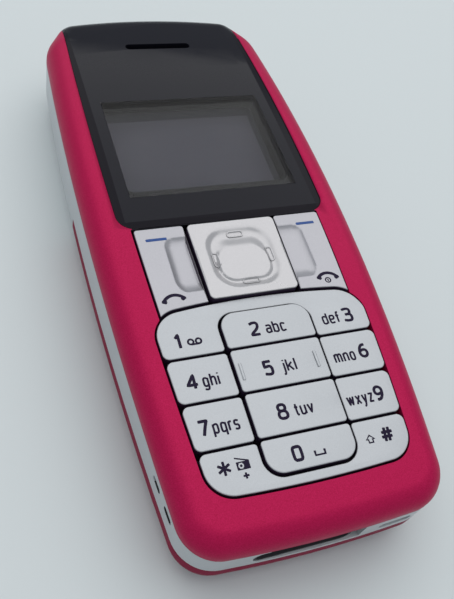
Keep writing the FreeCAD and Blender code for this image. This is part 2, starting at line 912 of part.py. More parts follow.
def function_keys():
    """Left and right function keys: a soft key and a call key on one rocker, with a thumb scoop."""
    arch = pad_block("arch_clearance", d.key_gap, d.board_low, high)
    top_y, low_y = d.wing_top_y, d.pad_top_y - 2
    inset, radius = d.wing_inset, d.side_radius - d.wing_inset
    outer = [side_x(y, inset) for y in (low_y, top_y)]
    inner = [nav_x(y) + d.key_gap for y in (low_y, top_y)]
    scoop_z = crown_z(d.scoop_y, -d.key_proud) - d.scoop_depth
    for name, sign in (("left_function_key", -1), ("right_function_key", 1)):
        if sign < 0:
            plan = path((-outer[0], low_y), (-inner[0], low_y), (-inner[1], top_y), (-outer[1], top_y, radius))
        else:
            plan = path((inner[0], low_y), (outer[0], low_y, radius), (outer[1], top_y), (inner[1], top_y))
        body = Piece(f"{name}_body").pad("XY", key_low, high, plan)
        body.round(d.key_corner, upright(y=top_y))
        crown_cut(body, -d.key_proud)
        shaped = cut(f"{name}_cap", body, arch)
        scoop = Piece(f"{name}_scoop").pad("XY", scoop_z, high, rounded(
            d.scoop_x * sign, d.scoop_y, d.scoop_width, d.scoop_length, d.scoop_round
        ))
        scoop.rim((0, 0, -1), d.scoop_depth * 0.9)
        stem = Piece(f"{name}_post")
        x, room = d.wing_post_x * sign, d.slide_gap * 2
        stem.pad("XY", post_low, key_low + d.joint_overlap, box(x, d.scoop_y, d.post_width, d.wing_post_length))
        for y in wing_contacts():
            stem.pad("XY", pip_low, post_low, circle(x, y, d.pip_radius))
        POSTS.append(box(x, d.scoop_y, d.post_width + room, d.wing_post_length + room))
        node(fuse(name, cut(f"{name}_dished", shaped, scoop), stem))


def wing_contacts():
    """Where a function key comes down along the phone."""
    return [d.scoop_y + d.wing_dome_reach, d.scoop_y - d.wing_dome_reach]


def nav_middle_y():
    return (d.nav_top_y + d.nav_low_y) / 2


def navigation_key():
    """Plate with a raised ring round a dished pad, and a mark on each side of the ring."""
    y = nav_middle_y()
    plate_z = crown_z(y, -d.nav_proud)
    ring_z = plate_z + d.ring_proud
    low_x, top_x = nav_x(d.nav_low_y), nav_x(d.nav_top_y)
    key = Piece("navigation_key").pad("XY", nav_low, high, path(
        (-low_x, d.nav_low_y), (low_x, d.nav_low_y), (top_x, d.nav_top_y), (-top_x, d.nav_top_y)
    ))
    key.round(d.nav_corner, upright())
    crown_cut(key, -d.nav_proud)
    key.rim((0, 0, 1), d.key_edge_bevel, "Chamfer")
    key.pad("XY", plate_z - d.ring_proud, ring_z, rounded(0, y, d.ring_width, d.ring_length, d.ring_round))
    key.rim((0, 0, 1), d.ring_bevel, "Chamfer")
    dish_y = y - d.dish_shift
    key.cut("XY", ring_z - d.dish_depth, high, rounded(0, dish_y, d.dish_width, d.dish_length, d.dish_round))
    key.bevel(d.dish_bevel, lambda e: in_level_box(e, ring_z, d.dish_width / 2, dish_y, d.dish_length / 2))
    for mark in (
        slot(0, y + d.mark_y, d.mark_length, d.mark_width), slot(0, y - d.mark_y, d.mark_length, d.mark_width),
        slot_upright(d.mark_x, y, d.mark_width, d.mark_length),
        slot_upright(-d.mark_x, y, d.mark_width, d.mark_length),
    ):
        key.pad("XY", ring_z - d.mark_proud, ring_z + d.mark_proud, mark)
    node(key)


def in_level_box(edge, level, half_width, middle_y, half_length):
    """Whether an edge lies at a level and within a box round x = 0."""
    box_of = edge.BoundBox
    flat = max(abs(box_of.ZMin - level.value), abs(box_of.ZMax - level.value)) < 0.01
    wide = max(-box_of.XMin, box_of.XMax) < half_width.value + 0.01
    low_y, top_y = middle_y.value - half_length.value, middle_y.value + half_length.value
    return flat and wide and low_y - 0.01 < box_of.YMin and box_of.YMax < top_y + 0.01


def nav_contacts():
    """The four places round the middle where the actuator comes down."""
    y, reach = nav_middle_y(), d.nav_post_reach
    return [(reach, y), (-reach, y), (size(0), y + reach), (size(0), y - reach)]


def navigation_drive():
    """The actuator under the navigation key, which rocks on the plunger of the centre press."""
    y = nav_middle_y()
    head_z = d.mat_low - d.plunger_sunk
    arm_z = head_z + d.rock_gap
    arm_top = arm_z + d.arm_thickness
    actuator = Piece("navigation_actuator")
    actuator.pad("XY", arm_z, arm_top, rounded(0, y, d.arm_length, d.arm_width, d.arm_round))
    actuator.pad("XY", arm_z, arm_top, rounded(0, y, d.arm_width, d.arm_length, d.arm_round))
    for x, contact in nav_contacts():
        actuator.pad("XY", pip_low + d.part_gap, arm_z, circle(x, contact, d.pip_radius * 0.8))
    actuator.pad("XY", arm_top, nav_low - d.rock_gap, rounded(0, y, d.ridge_width, d.ridge_length, d.ridge_round))
    node(actuator)
    bar_low = head_z - d.plunger_bar
    plunger = Piece("navigation_plunger").pad("XY", pip_low, bar_low, circle(0, y, d.pip_radius))
    plunger.pad("XY", bar_low, head_z, rounded(0, y, d.plunger_length, d.ridge_width, d.ridge_round))
    node(plunger)
    POSTS.append(rounded(0, y, d.nav_opening, d.nav_opening, d.nav_opening_round))


def jack_room(gap):
    """Plan of the room that the connectors and the microphone take behind the bottom end."""
    width = jack_high_x - jack_low_x + gap * 2
    return box((jack_low_x + jack_high_x) / 2, port_back, width, (d.jack_length + gap) * 2)


def keymat():
    """Rubber mat: a web with an opening round each post and a skirt that stands on the board."""
    grow = d.key_side_gap + 1.2
    web = pad_block("mat_lower", grow, d.mat_low, mat_high)
    upper = Piece("mat_upper").pad("XY", d.mat_low, mat_high, wing_outline(grow))
    skirt_low = pad_block("skirt_lower", grow, board_high, d.mat_low)
    skirt_up = Piece("skirt_upper").pad("XY", board_high, d.mat_low, wing_outline(grow))
    hollow_low = pad_block("skirt_hollow_lower", grow - d.skirt_wall, board_high - 1, d.mat_low)
    hollow_up = Piece("skirt_hollow_upper").pad("XY", board_high - 1, d.mat_low, wing_outline(grow - d.skirt_wall))
    low, top = d.mat_low - 1, mat_high + 1
    openings = [region(f"mat_opening_{n}", loop, low=low, high=top) for n, loop in enumerate(POSTS, start=1)]
    jacks = Piece("mat_jack_room").pad(
        "XY", board_high - 1, d.port_z + d.jack_height / 2 + d.part_gap,
        jack_room(d.slide_gap)
    )
    skirt = cut("mat_skirt", fuse("mat_skirt_whole", skirt_low, skirt_up), hollow_low, hollow_up)
    whole = fuse("mat_whole", fuse("mat_web", web, upper), skirt)
    node(cut("keymat", whole, group("mat_openings", openings), jacks))


def dome_places():
    """Where the posts come down on the board."""
    middle = [(d.row_one_y + row_two_y) / 2, (row_two_y + row_three_y) / 2]
    one_y = (d.row_one_y + half_gap + d.arch_top_y) / 2
    zero_y = (row_three_y - half_gap + d.arch_low_y) / 2
    places = [(sign * d.wing_post_x, y) for sign in (-1, 1) for y in wing_contacts()]
    places += [(size(x), y) for y in middle for x in (-d.post_x, 0, d.post_x)]
    places += [(size(x), y) for y in (one_y, zero_y) for x in (-d.post_x, 0, d.post_x)]
    return places, [(size(0), nav_middle_y()), *nav_contacts()]


def dome_sheet():
    """Film with snap domes over the board's contacts."""
    wide, small = dome_places()
    film = Piece("dome_sheet").pad("XY", board_high, film_high, rounded(
        0, d.film_y, d.film_width, d.film_length, d.film_round
    ))
    film.pad("XY", film_high, dome_high, *[circle(x, y, d.dome_radius) for x, y in wide])
    film.pad("XY", film_high, dome_high, *[circle(x, y, d.small_dome_radius) for x, y in small])
    node(film)


# Casing below the seam


def split_path(above, shift=0):
    """One side of the arc at which the back cover meets the upper back."""
    half, side_y = d.half_width + 1, d.split_side_y + shift
    arc = rise_radius(half, d.split_middle_y - d.split_side_y)
    if above:
        return path((-half, side_y, -arc), (half, side_y), (half, end_y + 2), (-half, end_y + 2))
    return path((-half, -end_y - 2), (half, -end_y - 2), (half, side_y, arc), (-half, side_y))


def side_strip(outer, inner, low_y, top_y, right=False):
    """A curved strip along one side, between two insets."""
    outer, inner = size(outer), size(inner)
    far, near = d.side_radius - outer, d.side_radius - inner
    if right:
        return path(
            (side_x(low_y, inner), low_y), (side_x(low_y, outer), low_y, far),
            (side_x(top_y, outer), top_y), (side_x(top_y, inner), top_y, -near),
        )
    return path(
        (-side_x(low_y, outer), low_y), (-side_x(low_y, inner), low_y, -near),
        (-side_x(top_y, inner), top_y), (-side_x(top_y, outer), top_y, far),
    )


tub_inset = d.back_wall + d.slide_gap
bay_y = d.battery_top_y - d.battery_length / 2
upper_y = d.split_middle_y + 2.5
SCREWS = [(17.9, 0.5), (-17.9, 0.5), (11.5, 47.0), (-11.5, 47.0)]


def shell_slab(name, inset, low, top, edge, kind="Fillet"):
    """The outline as a slab whose lower edge is rounded or bevelled."""
    top_round = edge + 0.4 if kind == "Chamfer" else None
    return slab(name, inset, low, top, top_round).rim((0, 0, -1), edge, kind)


def rail_places():
    """Lower end and side of each rail of the back cover."""
    return [(low_y, right) for low_y in (d.rail_low_y, d.rail_top_y) for right in (False, True)]


def chassis():
    band = crown_cut(slab("band", 0, d.band_low, high), d.cover_depth + d.seam_gap)
    lip = crown_cut(slab("lip", d.cover_wall + d.part_gap, d.band_low, high), d.cover_depth - d.lip_height)
    tub = shell_slab("tub", tub_inset, back_low, d.band_low, d.tub_bevel, "Chamfer")
    upper = shell_slab("upper_back", 0, 0, d.band_low, d.back_round)
    above = region("upper_half", split_path(True))
    below = region("lower_half", split_path(False))
    groove = cut(
        "rail_groove",
        slab("groove_outer", tub_inset - 0.2, d.rail_low - d.slide_gap, d.rail_low + d.rail_height + d.slide_gap),
        slab("groove_inner", d.back_wall + d.rail_reach + d.slide_gap, d.rail_low - 1, d.band_low),
    )
    entries = [
        region(
            f"rail_entry_{n}",
            side_strip(
                d.back_wall - 0.3, d.back_wall + d.rail_reach + d.slide_gap,
                low_y - d.cover_travel - d.slide_gap, low_y - d.cover_travel + d.rail_length + d.slide_gap, right,
            ),
            low=0, high=d.rail_low + d.rail_height + d.slide_gap,
        )
        for n, (low_y, right) in enumerate(rail_places(), start=1)
    ]
    lower = cut("tub_grooved", common("tub_lower", tub, below), groove, group("rail_entries", entries))
    body = fuse("chassis_body", fuse("chassis_shell", band, lip), common("upper_part", upper, above), lower)
    cavity = slab("cavity", d.cover_wall + d.part_gap + d.lip_wall, tray_high, high)
    roomier = crown_cut(slab("cavity_low_part", d.band_wall, tray_high, high), d.cover_depth + d.lip_foot)
    hollow = shell_slab("upper_hollow", d.band_wall, d.back_wall, cavity_low, d.inner_bevel, "Chamfer")
    hollow_part = common("upper_room", hollow, region("upper_room_y", box(0, upper_y + 25, WIDE, 50)))
    bay = region(
        "battery_bay", box(0, bay_y, d.battery_width + d.slide_gap * 2, d.battery_length + d.slide_gap * 2),
        low=-1, high=cavity_low,
    )
    hollowed = cut("chassis_hollowed", body, cavity, roomier, hollow_part, bay)
    supports = [
        region(f"boss_{n}", circle(x, y, d.boss_radius), low=cavity_low, high=d.board_low)
        for n, (x, y) in enumerate(SCREWS, start=1)
    ]
    eyelet_back = -end_y + d.eyelet_depth
    block = region(
        "eyelet_block", box(d.eyelet_x, eyelet_back - 0.2, d.eyelet_width + 1.6, 2.2),
        low=cavity_low, high=d.eyelet_z + d.eyelet_height / 2 + 0.8,
    )
    cradle = motor_cradle()
    filled = fuse("chassis_filled", hollowed, group("bosses", supports), block, cradle)
    node(cut("chassis", filled, *chassis_openings()))


def motor_cradle():
    """Two saddles that hold the vibration motor over the tray."""
    ribs = Piece("motor_ribs")
    width = d.motor_radius * 2 + 1.2
    low_y, rib = d.motor_low_y + 0.8, 1.2
    outline = box(d.motor_x, (cavity_low + d.motor_z) / 2, width, d.motor_z - cavity_low)
    ribs.pad("XZ", low_y, low_y + rib, outline)
    far = Piece("motor_rib_far").pad("XZ", low_y + 5.0, low_y + 5.0 + rib, outline)
    can = Piece("motor_room").pad(
        "XZ", low_y - 3, low_y + 9, circle(d.motor_x, d.motor_z, d.motor_radius + 0.02)
    )
    return cut("motor_saddles", group("motor_rib_pair", [ribs, far]), can)


def chassis_openings():
    """Every hole that is cut in the chassis after its walls are made."""
    tools = [region("jack_room", jack_room(0.02), low=tray_high, high=high)]
    screws = [circle(x, y, d.screw_radius + 0.02) for x, y in SCREWS]
    tools.append(region("screw_holes", *screws, low=d.board_low - d.screw_depth - 0.1, high=d.board_low + 1))
    gap = d.part_gap
    tools.append(region(
        "speaker_pocket",
        box(d.speaker_x, d.speaker_y, d.speaker_width + gap * 2, d.speaker_length + gap * 2),
        low=d.speaker_low - gap, high=tray_high + 0.5,
    ))
    tools.append(region(
        "sim_window", box(0, d.sim_y, d.sim_width + 2 + gap * 2, d.sim_length + 2 + gap * 2),
        low=cavity_low - 1, high=tray_high + 1,
    ))
    tools.append(region("contact_room", box(0, contact_y, 10.6, 3.8), low=3.4, high=tray_high + 1))
    port = Piece("port_hole").pad(
        "XZ", -end_y - 1, port_back, slot(d.port_x, d.port_z, d.port_width + 0.1, d.port_height + 0.1)
    )
    tools.append(port)
    tools.append(Piece("eyelet_hole").pad(
        "XZ", -end_y - 1, -end_y + d.eyelet_depth, slot(d.eyelet_x, d.eyelet_z, d.eyelet_width, d.eyelet_height)
    ))
    slots = [
        slot(d.sound_slot_y - d.sound_slot_pitch * n, d.sound_slot_z, d.sound_slot_length, d.sound_slot_height)
        for n in range(2)
    ]
    tools.append(Piece("sound_holes").pad("YZ", -d.half_width - 1, -d.half_width + 4.4, *slots))
    channel_low = d.battery_top_y - 1
    tools.append(region(
        "tongue_channel",
        box(0, (channel_low + d.tongue_top_y + 0.5) / 2, d.tongue_width + 0.8, d.tongue_top_y + 0.5 - channel_low),
        low=d.back_wall, high=battery_low,
    ))
    nose_low_y = d.tongue_top_y - 2.4
    tools.append(region(
        "nose_room", box(0, (nose_low_y + upper_y + 1) / 2, 3.4, upper_y + 1 - nose_low_y),
        low=back_low, high=tongue_high + 1.2 + d.button_travel + d.slide_gap,
    ))
    gap = d.part_gap
    tools.append(region(
        "button_hole", slot(0, d.button_y, d.button_width + gap * 2, d.button_length + gap * 2),
        low=-1, high=back_low,
    ))
    return tools


contact_y = d.battery_top_y + d.slide_gap + 1.7


def back_cover():
    """Battery cover: floor, side walls and bottom end in one shell, with rails and a latch tongue."""
    outer = shell_slab("back_outer", 0, 0, d.band_low - d.seam_gap, d.back_round)
    inner = shell_slab("back_inner", d.back_wall, d.back_wall, d.band_low + 1, d.inner_bevel, "Chamfer")
    shell = cut("back_shell", outer, inner)
    part = common("back_part", shell, region("back_half", split_path(False, -d.part_gap)))
    rails = [
        Piece(f"rail_{n}").pad(
            "XY", d.rail_low, d.rail_low + d.rail_height,
            side_strip(d.back_wall - 0.3, d.back_wall + d.rail_reach, low_y, low_y + d.rail_length, right),
        )
        for n, (low_y, right) in enumerate(rail_places(), start=1)
    ]
    root_y = d.split_middle_y - 2.8
    tongue = Piece("tongue").pad(
        "XY", d.back_wall - 0.3, tongue_high, box(0, (root_y + d.split_middle_y - 0.3) / 2, d.tongue_width, 2.5)
    )
    tongue.pad(
        "XY", tongue_low, tongue_high, box(0, (root_y + d.tongue_top_y) / 2, d.tongue_width, d.tongue_top_y - root_y)
    )
    tongue.cut("XY", 0, 5, rounded(0, d.tongue_top_y - 1.6, 3.4, 1.4, 0.3))
    node(fuse("back_cover", part, tongue, *rails))


def latch():
    """Release button of the back cover with its nose and spring."""
    low = d.button_sunk
    button = Piece("release_button").pad("XY", low, back_low, slot(0, d.button_y, d.button_width, d.button_length))
    button.rim((0, 0, -1), 0.4)
    button.pad(
        "XY", back_low, back_low + d.flange_thickness,
        rounded(0, d.button_y, d.button_width + 2, d.button_length + 1.6, 1.5),
    )
    spring_low = back_low + d.flange_thickness
    nose_y = d.tongue_top_y - 1.6
    root_y = d.button_y - d.button_length / 2 + 0.4
    button.pad("XY", spring_low - 0.2, tongue_high + 1.2, box(0, root_y, 2.8, 1.2))
    button.pad(
        "XY", tongue_high + d.part_gap, tongue_high + 1.2,
        box(0, (nose_y - 0.5 + root_y) / 2, 2.8, root_y - nose_y + 0.5),
    )
    node(button)
    node(Piece("release_spring").pad("XZ", d.button_y - 1.2, d.button_y + 1.2, bow_path(spring_low, cavity_low)))


def bow_path(low, top):
    """Section of a bowed leaf spring: two feet on the button and a crest under the tray."""
    thick, foot, reach = d.spring_thickness, d.spring_foot, d.spring_reach
    crest = d.spring_foot
    return path(
        (-reach, low), (-reach + foot, low), (-crest, top - thick), (crest, top - thick),
        (reach - foot, low), (reach, low), (reach, low + thick), (reach - foot + thick, low + thick),
        (crest + thick / 2, top), (-crest - thick / 2, top), (-reach + foot - thick, low + thick),
        (-reach, low + thick),
    )


def port():
    """Connectors of the bottom end behind one lining."""
    front = -end_y + d.port_inset
    insert = Piece("port_insert").pad("XZ", front, port_back, slot(d.port_x, d.port_z, d.port_width, d.port_height))
    wall = d.port_wall * 2
    insert.cut("XZ", front - 1, port_back - d.port_floor, slot(
        d.port_x, d.port_z, d.port_width - wall, d.port_height - wall
    ))
    insert.cut(
        "XZ", front - 1, port_back + 1, circle(d.charger_x, d.port_z, d.charger_bore_radius),
        circle(d.headset_x, d.port_z, d.headset_bore_radius), circle(3.2, d.port_z, 0.45),
    )
    node(insert)
    jacks = (("charger_jack", d.charger_x, d.charger_bore_radius), ("headset_jack", d.headset_x, d.headset_bore_radius))
    for name, x, bore in jacks:
        jack = Piece(name).pad(
            "XZ", port_back, port_back + d.jack_length,
            rounded(x, tray_high + d.jack_height / 2, d.jack_width, d.jack_height, 0.4),
        )
        jack.cut("XZ", port_back - 1, port_back + d.jack_bore_depth, circle(x, d.port_z, bore))
        node(jack)
    mic_z = tray_high + d.microphone_radius + d.boot_wall
    boot = Piece("microphone_boot").pad(
        "XZ", port_back, port_back + d.microphone_length + 0.4,
        circle(d.microphone_x, mic_z, d.microphone_radius + d.boot_wall),
    )
    boot.cut("XZ", port_back + 0.4, port_back + 4, circle(d.microphone_x, mic_z, d.microphone_radius))
    boot.cut("XZ", port_back - 1, port_back + 1, circle(d.microphone_x, mic_z, 0.5))
    node(boot)
    node(Piece("microphone").pad(
        "XZ", port_back + 0.4, port_back + 0.4 + d.microphone_length,
        circle(d.microphone_x, mic_z, d.microphone_radius),
    ))
    half = d.eyelet_height / 2
    node(Piece("strap_bar").pad(
        "XY", d.eyelet_z - half, d.eyelet_z + half, circle(d.eyelet_x, -end_y + 1.3, d.strap_bar_radius)
    ))


def speaker():
    """Loudspeaker in its pocket and the dust mesh behind the slots of the side."""
    case = Piece("loudspeaker").pad(
        "XY", d.speaker_low, d.speaker_low + d.speaker_height,
        rounded(d.speaker_x, d.speaker_y, d.speaker_width, d.speaker_length, 1.0),
    )
    case.cut("XY", d.speaker_low + d.speaker_height - 0.4, high, circle(d.speaker_x, d.speaker_y, 2.7))
    node(case)
    mesh = Piece("loudspeaker_mesh").pad(
        "XY", d.sound_slot_z - 0.8, d.sound_slot_z + 0.7,
        side_strip(d.band_wall + 0.05, d.band_wall + 0.3, -46, -38),
    )
    node(mesh)


# Board and what stands on it


def board():
    low, top = d.board_low, board_high
    sheet = slab("main_board", d.board_inset, low, top)
    sheet.cut("XY", low - 1, top + 1, jack_room(d.slide_gap))
    sheet.cut("XY", low - 1, top + 1, box(d.eyelet_x + 0.6, -end_y, d.eyelet_width + 4, (d.eyelet_depth + 1.2) * 2))
    motor_y = d.motor_low_y + (d.motor_length + d.weight_length) / 2 + 0.3
    sheet.cut(
        "XY", low - 1, top + 1,
        box(d.motor_x + 2.2, motor_y, d.motor_radius * 2 + 6.2, d.motor_length + d.weight_length + 2.6),
    )
    sheet.cut("XY", low - 1, top + 1, *[circle(x, y, d.screw_radius + 0.05) for x, y in SCREWS])
    node(sheet)
    screws = []
    for n, (x, y) in enumerate(SCREWS, start=1):
        screw = Piece(f"screw_{n}").pad("XY", low - d.screw_depth, top, circle(x, y, d.screw_radius))
        screw.pad("XY", top, top + d.screw_head_height, circle(x, y, d.screw_head_radius))
        screw.rim((0, 0, 1), 0.25, "Chamfer")
        screws.append(screw)
    node(group("chassis_screws", screws))
    shields = []
    for n, (x, y, width, length) in enumerate([(0, -32.4, 25, 19), (-8.4, 21.4, 15, 17)], start=1):
        can = Piece(f"shield_{n}").pad("XY", low - d.shield_height, low, box(x, y, width, length))
        can.rim((0, 0, -1), 0.3, "Chamfer")
        shields.append(can)
    node(group("board_shields", shields))
    chips = []
    for n, (x, y, width, length, tall) in enumerate(
        [(5.2, 18.2, 7, 7, 1.2), (11.8, 19, 4, 5, 0.9), (5, 26.2, 6, 5, 1.0), (-3, 34.5, 5, 4, 1.0)], start=1
    ):
        chips.append(Piece(f"chip_{n}").pad("XY", low - tall, low, box(x, y, width, length)))
    node(group("board_chips", chips))
    lights = [
        Piece(f"light_{n}").pad("XY", top, top + 0.5, box(x, y, 1.0, 1.6))
        for n, (x, y) in enumerate([(15.3, -12), (-15.3, -12), (15.8, -28), (-15.8, -28)], start=1)
    ]
    node(group("key_lights", lights))
    cell = Piece("backup_battery").pad("XY", top, top + d.cell_height, circle(-12.0, 37.5, d.cell_radius))
    cell.rim((0, 0, 1), 0.3, "Chamfer")
    node(cell)


def sim():
    """Card reader under the board, open to the battery bay."""
    gap = d.part_gap
    low, top = cavity_low + 0.05, d.board_low
    holder = Piece("sim_holder").pad("XY", low, top, rounded(0, d.sim_y, d.sim_width + 2, d.sim_length + 2, 0.6))
    card_low = low + 0.2
    pocket = box(0, d.sim_y, d.sim_width + gap * 2, d.sim_length + gap * 2)
    holder.cut("XY", card_low, card_low + d.sim_thickness + gap, pocket)
    holder.cut("XY", low - 1, card_low, box(0, d.sim_y - 2, d.sim_width - 3, d.sim_length - 2))
    node(holder)
    card = Piece("sim_card").pad("XY", card_low + 0.03, card_low + 0.03 + d.sim_thickness, path(
        (-(d.sim_width / 2), d.sim_y - d.sim_length / 2), (d.sim_width / 2, d.sim_y - d.sim_length / 2),
        (d.sim_width / 2, d.sim_y + d.sim_length / 2 - 3), (d.sim_width / 2 - 3, d.sim_y + d.sim_length / 2),
        (-(d.sim_width / 2), d.sim_y + d.sim_length / 2),
    ))
    node(card)
    contact = Piece("battery_connector").pad("XY", 3.8, d.board_low, box(0, contact_y, 10.0, 3.2))
    for x in (-3.2, 0, 3.2):
        contact.pad("XY", 4.4, 6.0, box(x, contact_y - 1.75, 1.0, 0.5))
    node(contact)


def battery():
    pack = Piece("battery").pad("XZ", d.battery_top_y - d.battery_length, d.battery_top_y, rounded(
        0, battery_low + d.battery_thickness / 2, d.battery_width, d.battery_thickness, d.battery_round
    ))
    node(pack)


def display():
    """Display module in its frame, from the board up to the window."""
    middle_y = (d.display_low_y + d.display_high_y) / 2
    width, length = d.display_half_width * 2, d.display_high_y - d.display_low_y
    wall, gap = d.frame_wall * 2, d.part_gap * 2
    low = board_high + 0.05
    glass_low = d.display_top - d.glass_thickness
    frame = Piece("display_frame").pad(
        "XY", low, d.display_top - 0.3, rounded(0, middle_y, width + wall, length + wall, 0.8)
    )
    frame.cut("XY", low + 0.3, high, rounded(0, middle_y, width + 0.1, length + 0.1, 0.4))
    frame.cut("XY", d.display_top - 1.5, high, box(0, d.display_low_y, 17.0, 3.0))
    node(frame)
    node(Piece("display_backlight").pad(
        "XY", low + 0.3, glass_low - 0.05, rounded(0, middle_y, width - 0.4, length - 0.4, 0.5)
    ))
    glass = Piece("display_module").pad("XY", glass_low, d.display_top, rounded(0, middle_y, width, length, 0.4))
    node(glass)
    gasket_length = d.view_high_y - d.view_low_y + 2.4
    view_y = (d.view_high_y + d.view_low_y) / 2
    gasket = Piece("display_gasket").pad(
        "XY", d.display_top, high, rounded(0, view_y, d.view_half_width * 2 + 2.4, gasket_length, 1.5),
        rounded(0, view_y, d.view_half_width * 2 + 0.4, gasket_length - 2.0, 1.5),
    )
    crown_cut(gasket, d.cover_roof + 0.03)
    node(gasket)
    node(Piece("display_flex").pad("YZ", -8, 8, flex_path()))


def flex_path():
    """Section of the ribbon that drops from the glass to the board in two bends."""
    thick, inner = 0.15, 0.35
    outer = inner + thick
    start_y, end, drop_y = d.display_low_y - 0.02, -0.9, d.display_low_y - 1.4
    top, low = d.display_top - 1.2, board_high
    face_y = drop_y + thick
    return path(
        (end, low), (face_y - outer, low, outer), (face_y, low + outer),
        (face_y, top - inner, -inner), (face_y + inner, top),
        (start_y, top), (start_y, top + thick), (face_y + inner, top + thick, outer),
        (drop_y, top - inner), (drop_y, low + outer, -inner),
        (drop_y - inner, low + thick), (end, low + thick),
    )


def earpiece():
    low = board_high + 0.05
    top = 13.3
    case = Piece("earpiece").pad("XY", low, top, circle(0, d.earpiece_y, d.earpiece_radius))
    case.rim((0, 0, 1), 0.4, "Chamfer")
    case.cut("XY", top - 0.4, top + 1, circle(0, d.earpiece_y, d.earpiece_radius - 1.4))
    node(case)
    gasket = Piece("earpiece_gasket").pad(
        "XY", top, high, circle(0, d.earpiece_y, d.earpiece_radius - 0.4),
        circle(0, d.earpiece_y, d.earpiece_radius - 1.3),
    )
    crown_cut(gasket, d.cover_roof + 0.03)
    node(gasket)


def vibration():
    """Vibration motor and its eccentric weight."""
    x, z, low_y = d.motor_x, d.motor_z, d.motor_low_y
    top_y = low_y + d.motor_length
    motor = Piece("vibration_motor").pad("XZ", low_y, top_y, circle(x, z, d.motor_radius))
    motor.cut("XZ", top_y - 2.4, top_y + 1, circle(x, z, d.shaft_radius + d.part_gap))
    node(motor)
    weight = Piece("vibration_weight").pad("XZ", top_y + 0.5, top_y + 0.5 + d.weight_length, path(
        (x - d.weight_radius, z, d.weight_radius), (x, z - d.weight_radius, d.weight_radius),
        (x + d.weight_radius, z), (x + 0.9, z + 0.8), (x - 0.9, z + 0.8),
    ))
    weight.pad("XZ", top_y - 2.0, top_y + 0.5, circle(x, z, d.shaft_radius))
    node(weight)


def antenna():
    inset = d.band_wall + 0.2
    low, top = d.back_wall + 0.1, cavity_low - 0.4
    block = shell_slab("antenna_block", inset, low, top, d.inner_bevel + 0.3, "Chamfer")
    keep = region("antenna_keep", box(0, (d.antenna_low_y + end_y) / 2 + 1, 36, end_y - d.antenna_low_y + 2))
    shape = cut("antenna_shape", common("antenna_kept", block, keep), region(
        "antenna_hollow", box(0, d.antenna_low_y + 8, 26, 12), low=low + 1.2, high=top + 1
    ))
    shape.Label = "antenna_carrier"
    node(shape)
    plate = Piece("antenna_element").pad(
        "XY", top, top + d.antenna_thickness, box(0, d.antenna_low_y + 17.2, 26, 4.0)
    )
    node(plate)


# The whole phone


def check_document():
    """Stops when a feature failed or a sub-part is not a sound solid."""
    failed = [o.Name for o in doc.Objects if {"Invalid", "Error"} & set(o.State)]
    if failed:
        raise RuntimeError(f"features failed: {failed}")
    labels = [feature.Label for feature in NODES]
    if len(set(labels)) != len(labels):
        raise RuntimeError("two sub-parts share a name")
    for feature in NODES:
        shape = feature.Shape
        if shape.isNull() or not shape.isValid() or not shape.Solids:
            raise RuntimeError(f"{feature.Label} is not a sound solid")


def write_parts():
    os.makedirs("parts", exist_ok=True)
    for feature in NODES:
        feature.Shape.exportStep(f"parts/{feature.Label}.step")


front_cover_and_window()
number_keys()
arch_keys()
function_keys()
navigation_key()
navigation_drive()
keymat()
dome_sheet()
chassis()
back_cover()
latch()
port()
speaker()
board()
sim()
battery()
display()
earpiece()
vibration()
antenna()
doc.recompute()
check_document()
write_parts()
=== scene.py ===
import math

import bmesh
import bpy
from bpy.props import FloatProperty, FloatVectorProperty, PointerProperty
from bpy.types import Operator, Panel, PropertyGroup
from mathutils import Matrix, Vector
from mathutils.geometry import intersect_point_line


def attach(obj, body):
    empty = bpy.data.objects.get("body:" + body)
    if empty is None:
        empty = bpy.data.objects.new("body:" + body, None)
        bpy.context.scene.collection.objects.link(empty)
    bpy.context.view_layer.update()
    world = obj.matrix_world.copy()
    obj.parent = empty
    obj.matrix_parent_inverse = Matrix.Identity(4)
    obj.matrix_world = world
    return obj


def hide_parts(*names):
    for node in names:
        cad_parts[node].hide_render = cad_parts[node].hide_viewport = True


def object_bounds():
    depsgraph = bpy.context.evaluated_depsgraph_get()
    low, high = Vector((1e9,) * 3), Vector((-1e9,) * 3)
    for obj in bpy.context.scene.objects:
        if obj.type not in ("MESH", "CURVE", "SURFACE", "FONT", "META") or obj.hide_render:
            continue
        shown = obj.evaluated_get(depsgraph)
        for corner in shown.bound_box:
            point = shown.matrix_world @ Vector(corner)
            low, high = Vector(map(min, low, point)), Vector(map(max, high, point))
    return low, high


bl_info = {
    "name": "Bar phone",
    "version": (1, 0, 0),
    "blender": (4, 5, 0),
    "location": "View3D > Sidebar > Phone",
    "description": "Finishes, keys, legends and studio for a bar phone built round its frame",
    "category": "Object",
}

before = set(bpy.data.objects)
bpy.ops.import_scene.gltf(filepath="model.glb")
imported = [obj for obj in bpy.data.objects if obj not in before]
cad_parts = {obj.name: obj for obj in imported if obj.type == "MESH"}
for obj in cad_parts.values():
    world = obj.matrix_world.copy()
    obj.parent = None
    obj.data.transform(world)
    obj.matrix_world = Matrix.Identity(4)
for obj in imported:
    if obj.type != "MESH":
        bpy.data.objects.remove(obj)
cad_low, cad_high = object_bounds()

MM = 0.001

# Distances under which points are one: in loose triangles, in slivers and at cuts
WELD, SLIVER, TOUCH = 0.5e-6, 0.2e-6, 1e-7


# Sizes, colours and studio values that a user would change


def length(name, value, text):
    """A length property in millimetres."""
    return FloatProperty(name=name, description=text, default=value * MM, unit="LENGTH")


def colour(name, value, text):
    """A colour property with full alpha."""
    return FloatVectorProperty(
        name=name, description=text, subtype="COLOR", size=4, default=(*value, 1.0), min=0.0, max=1.0
    )


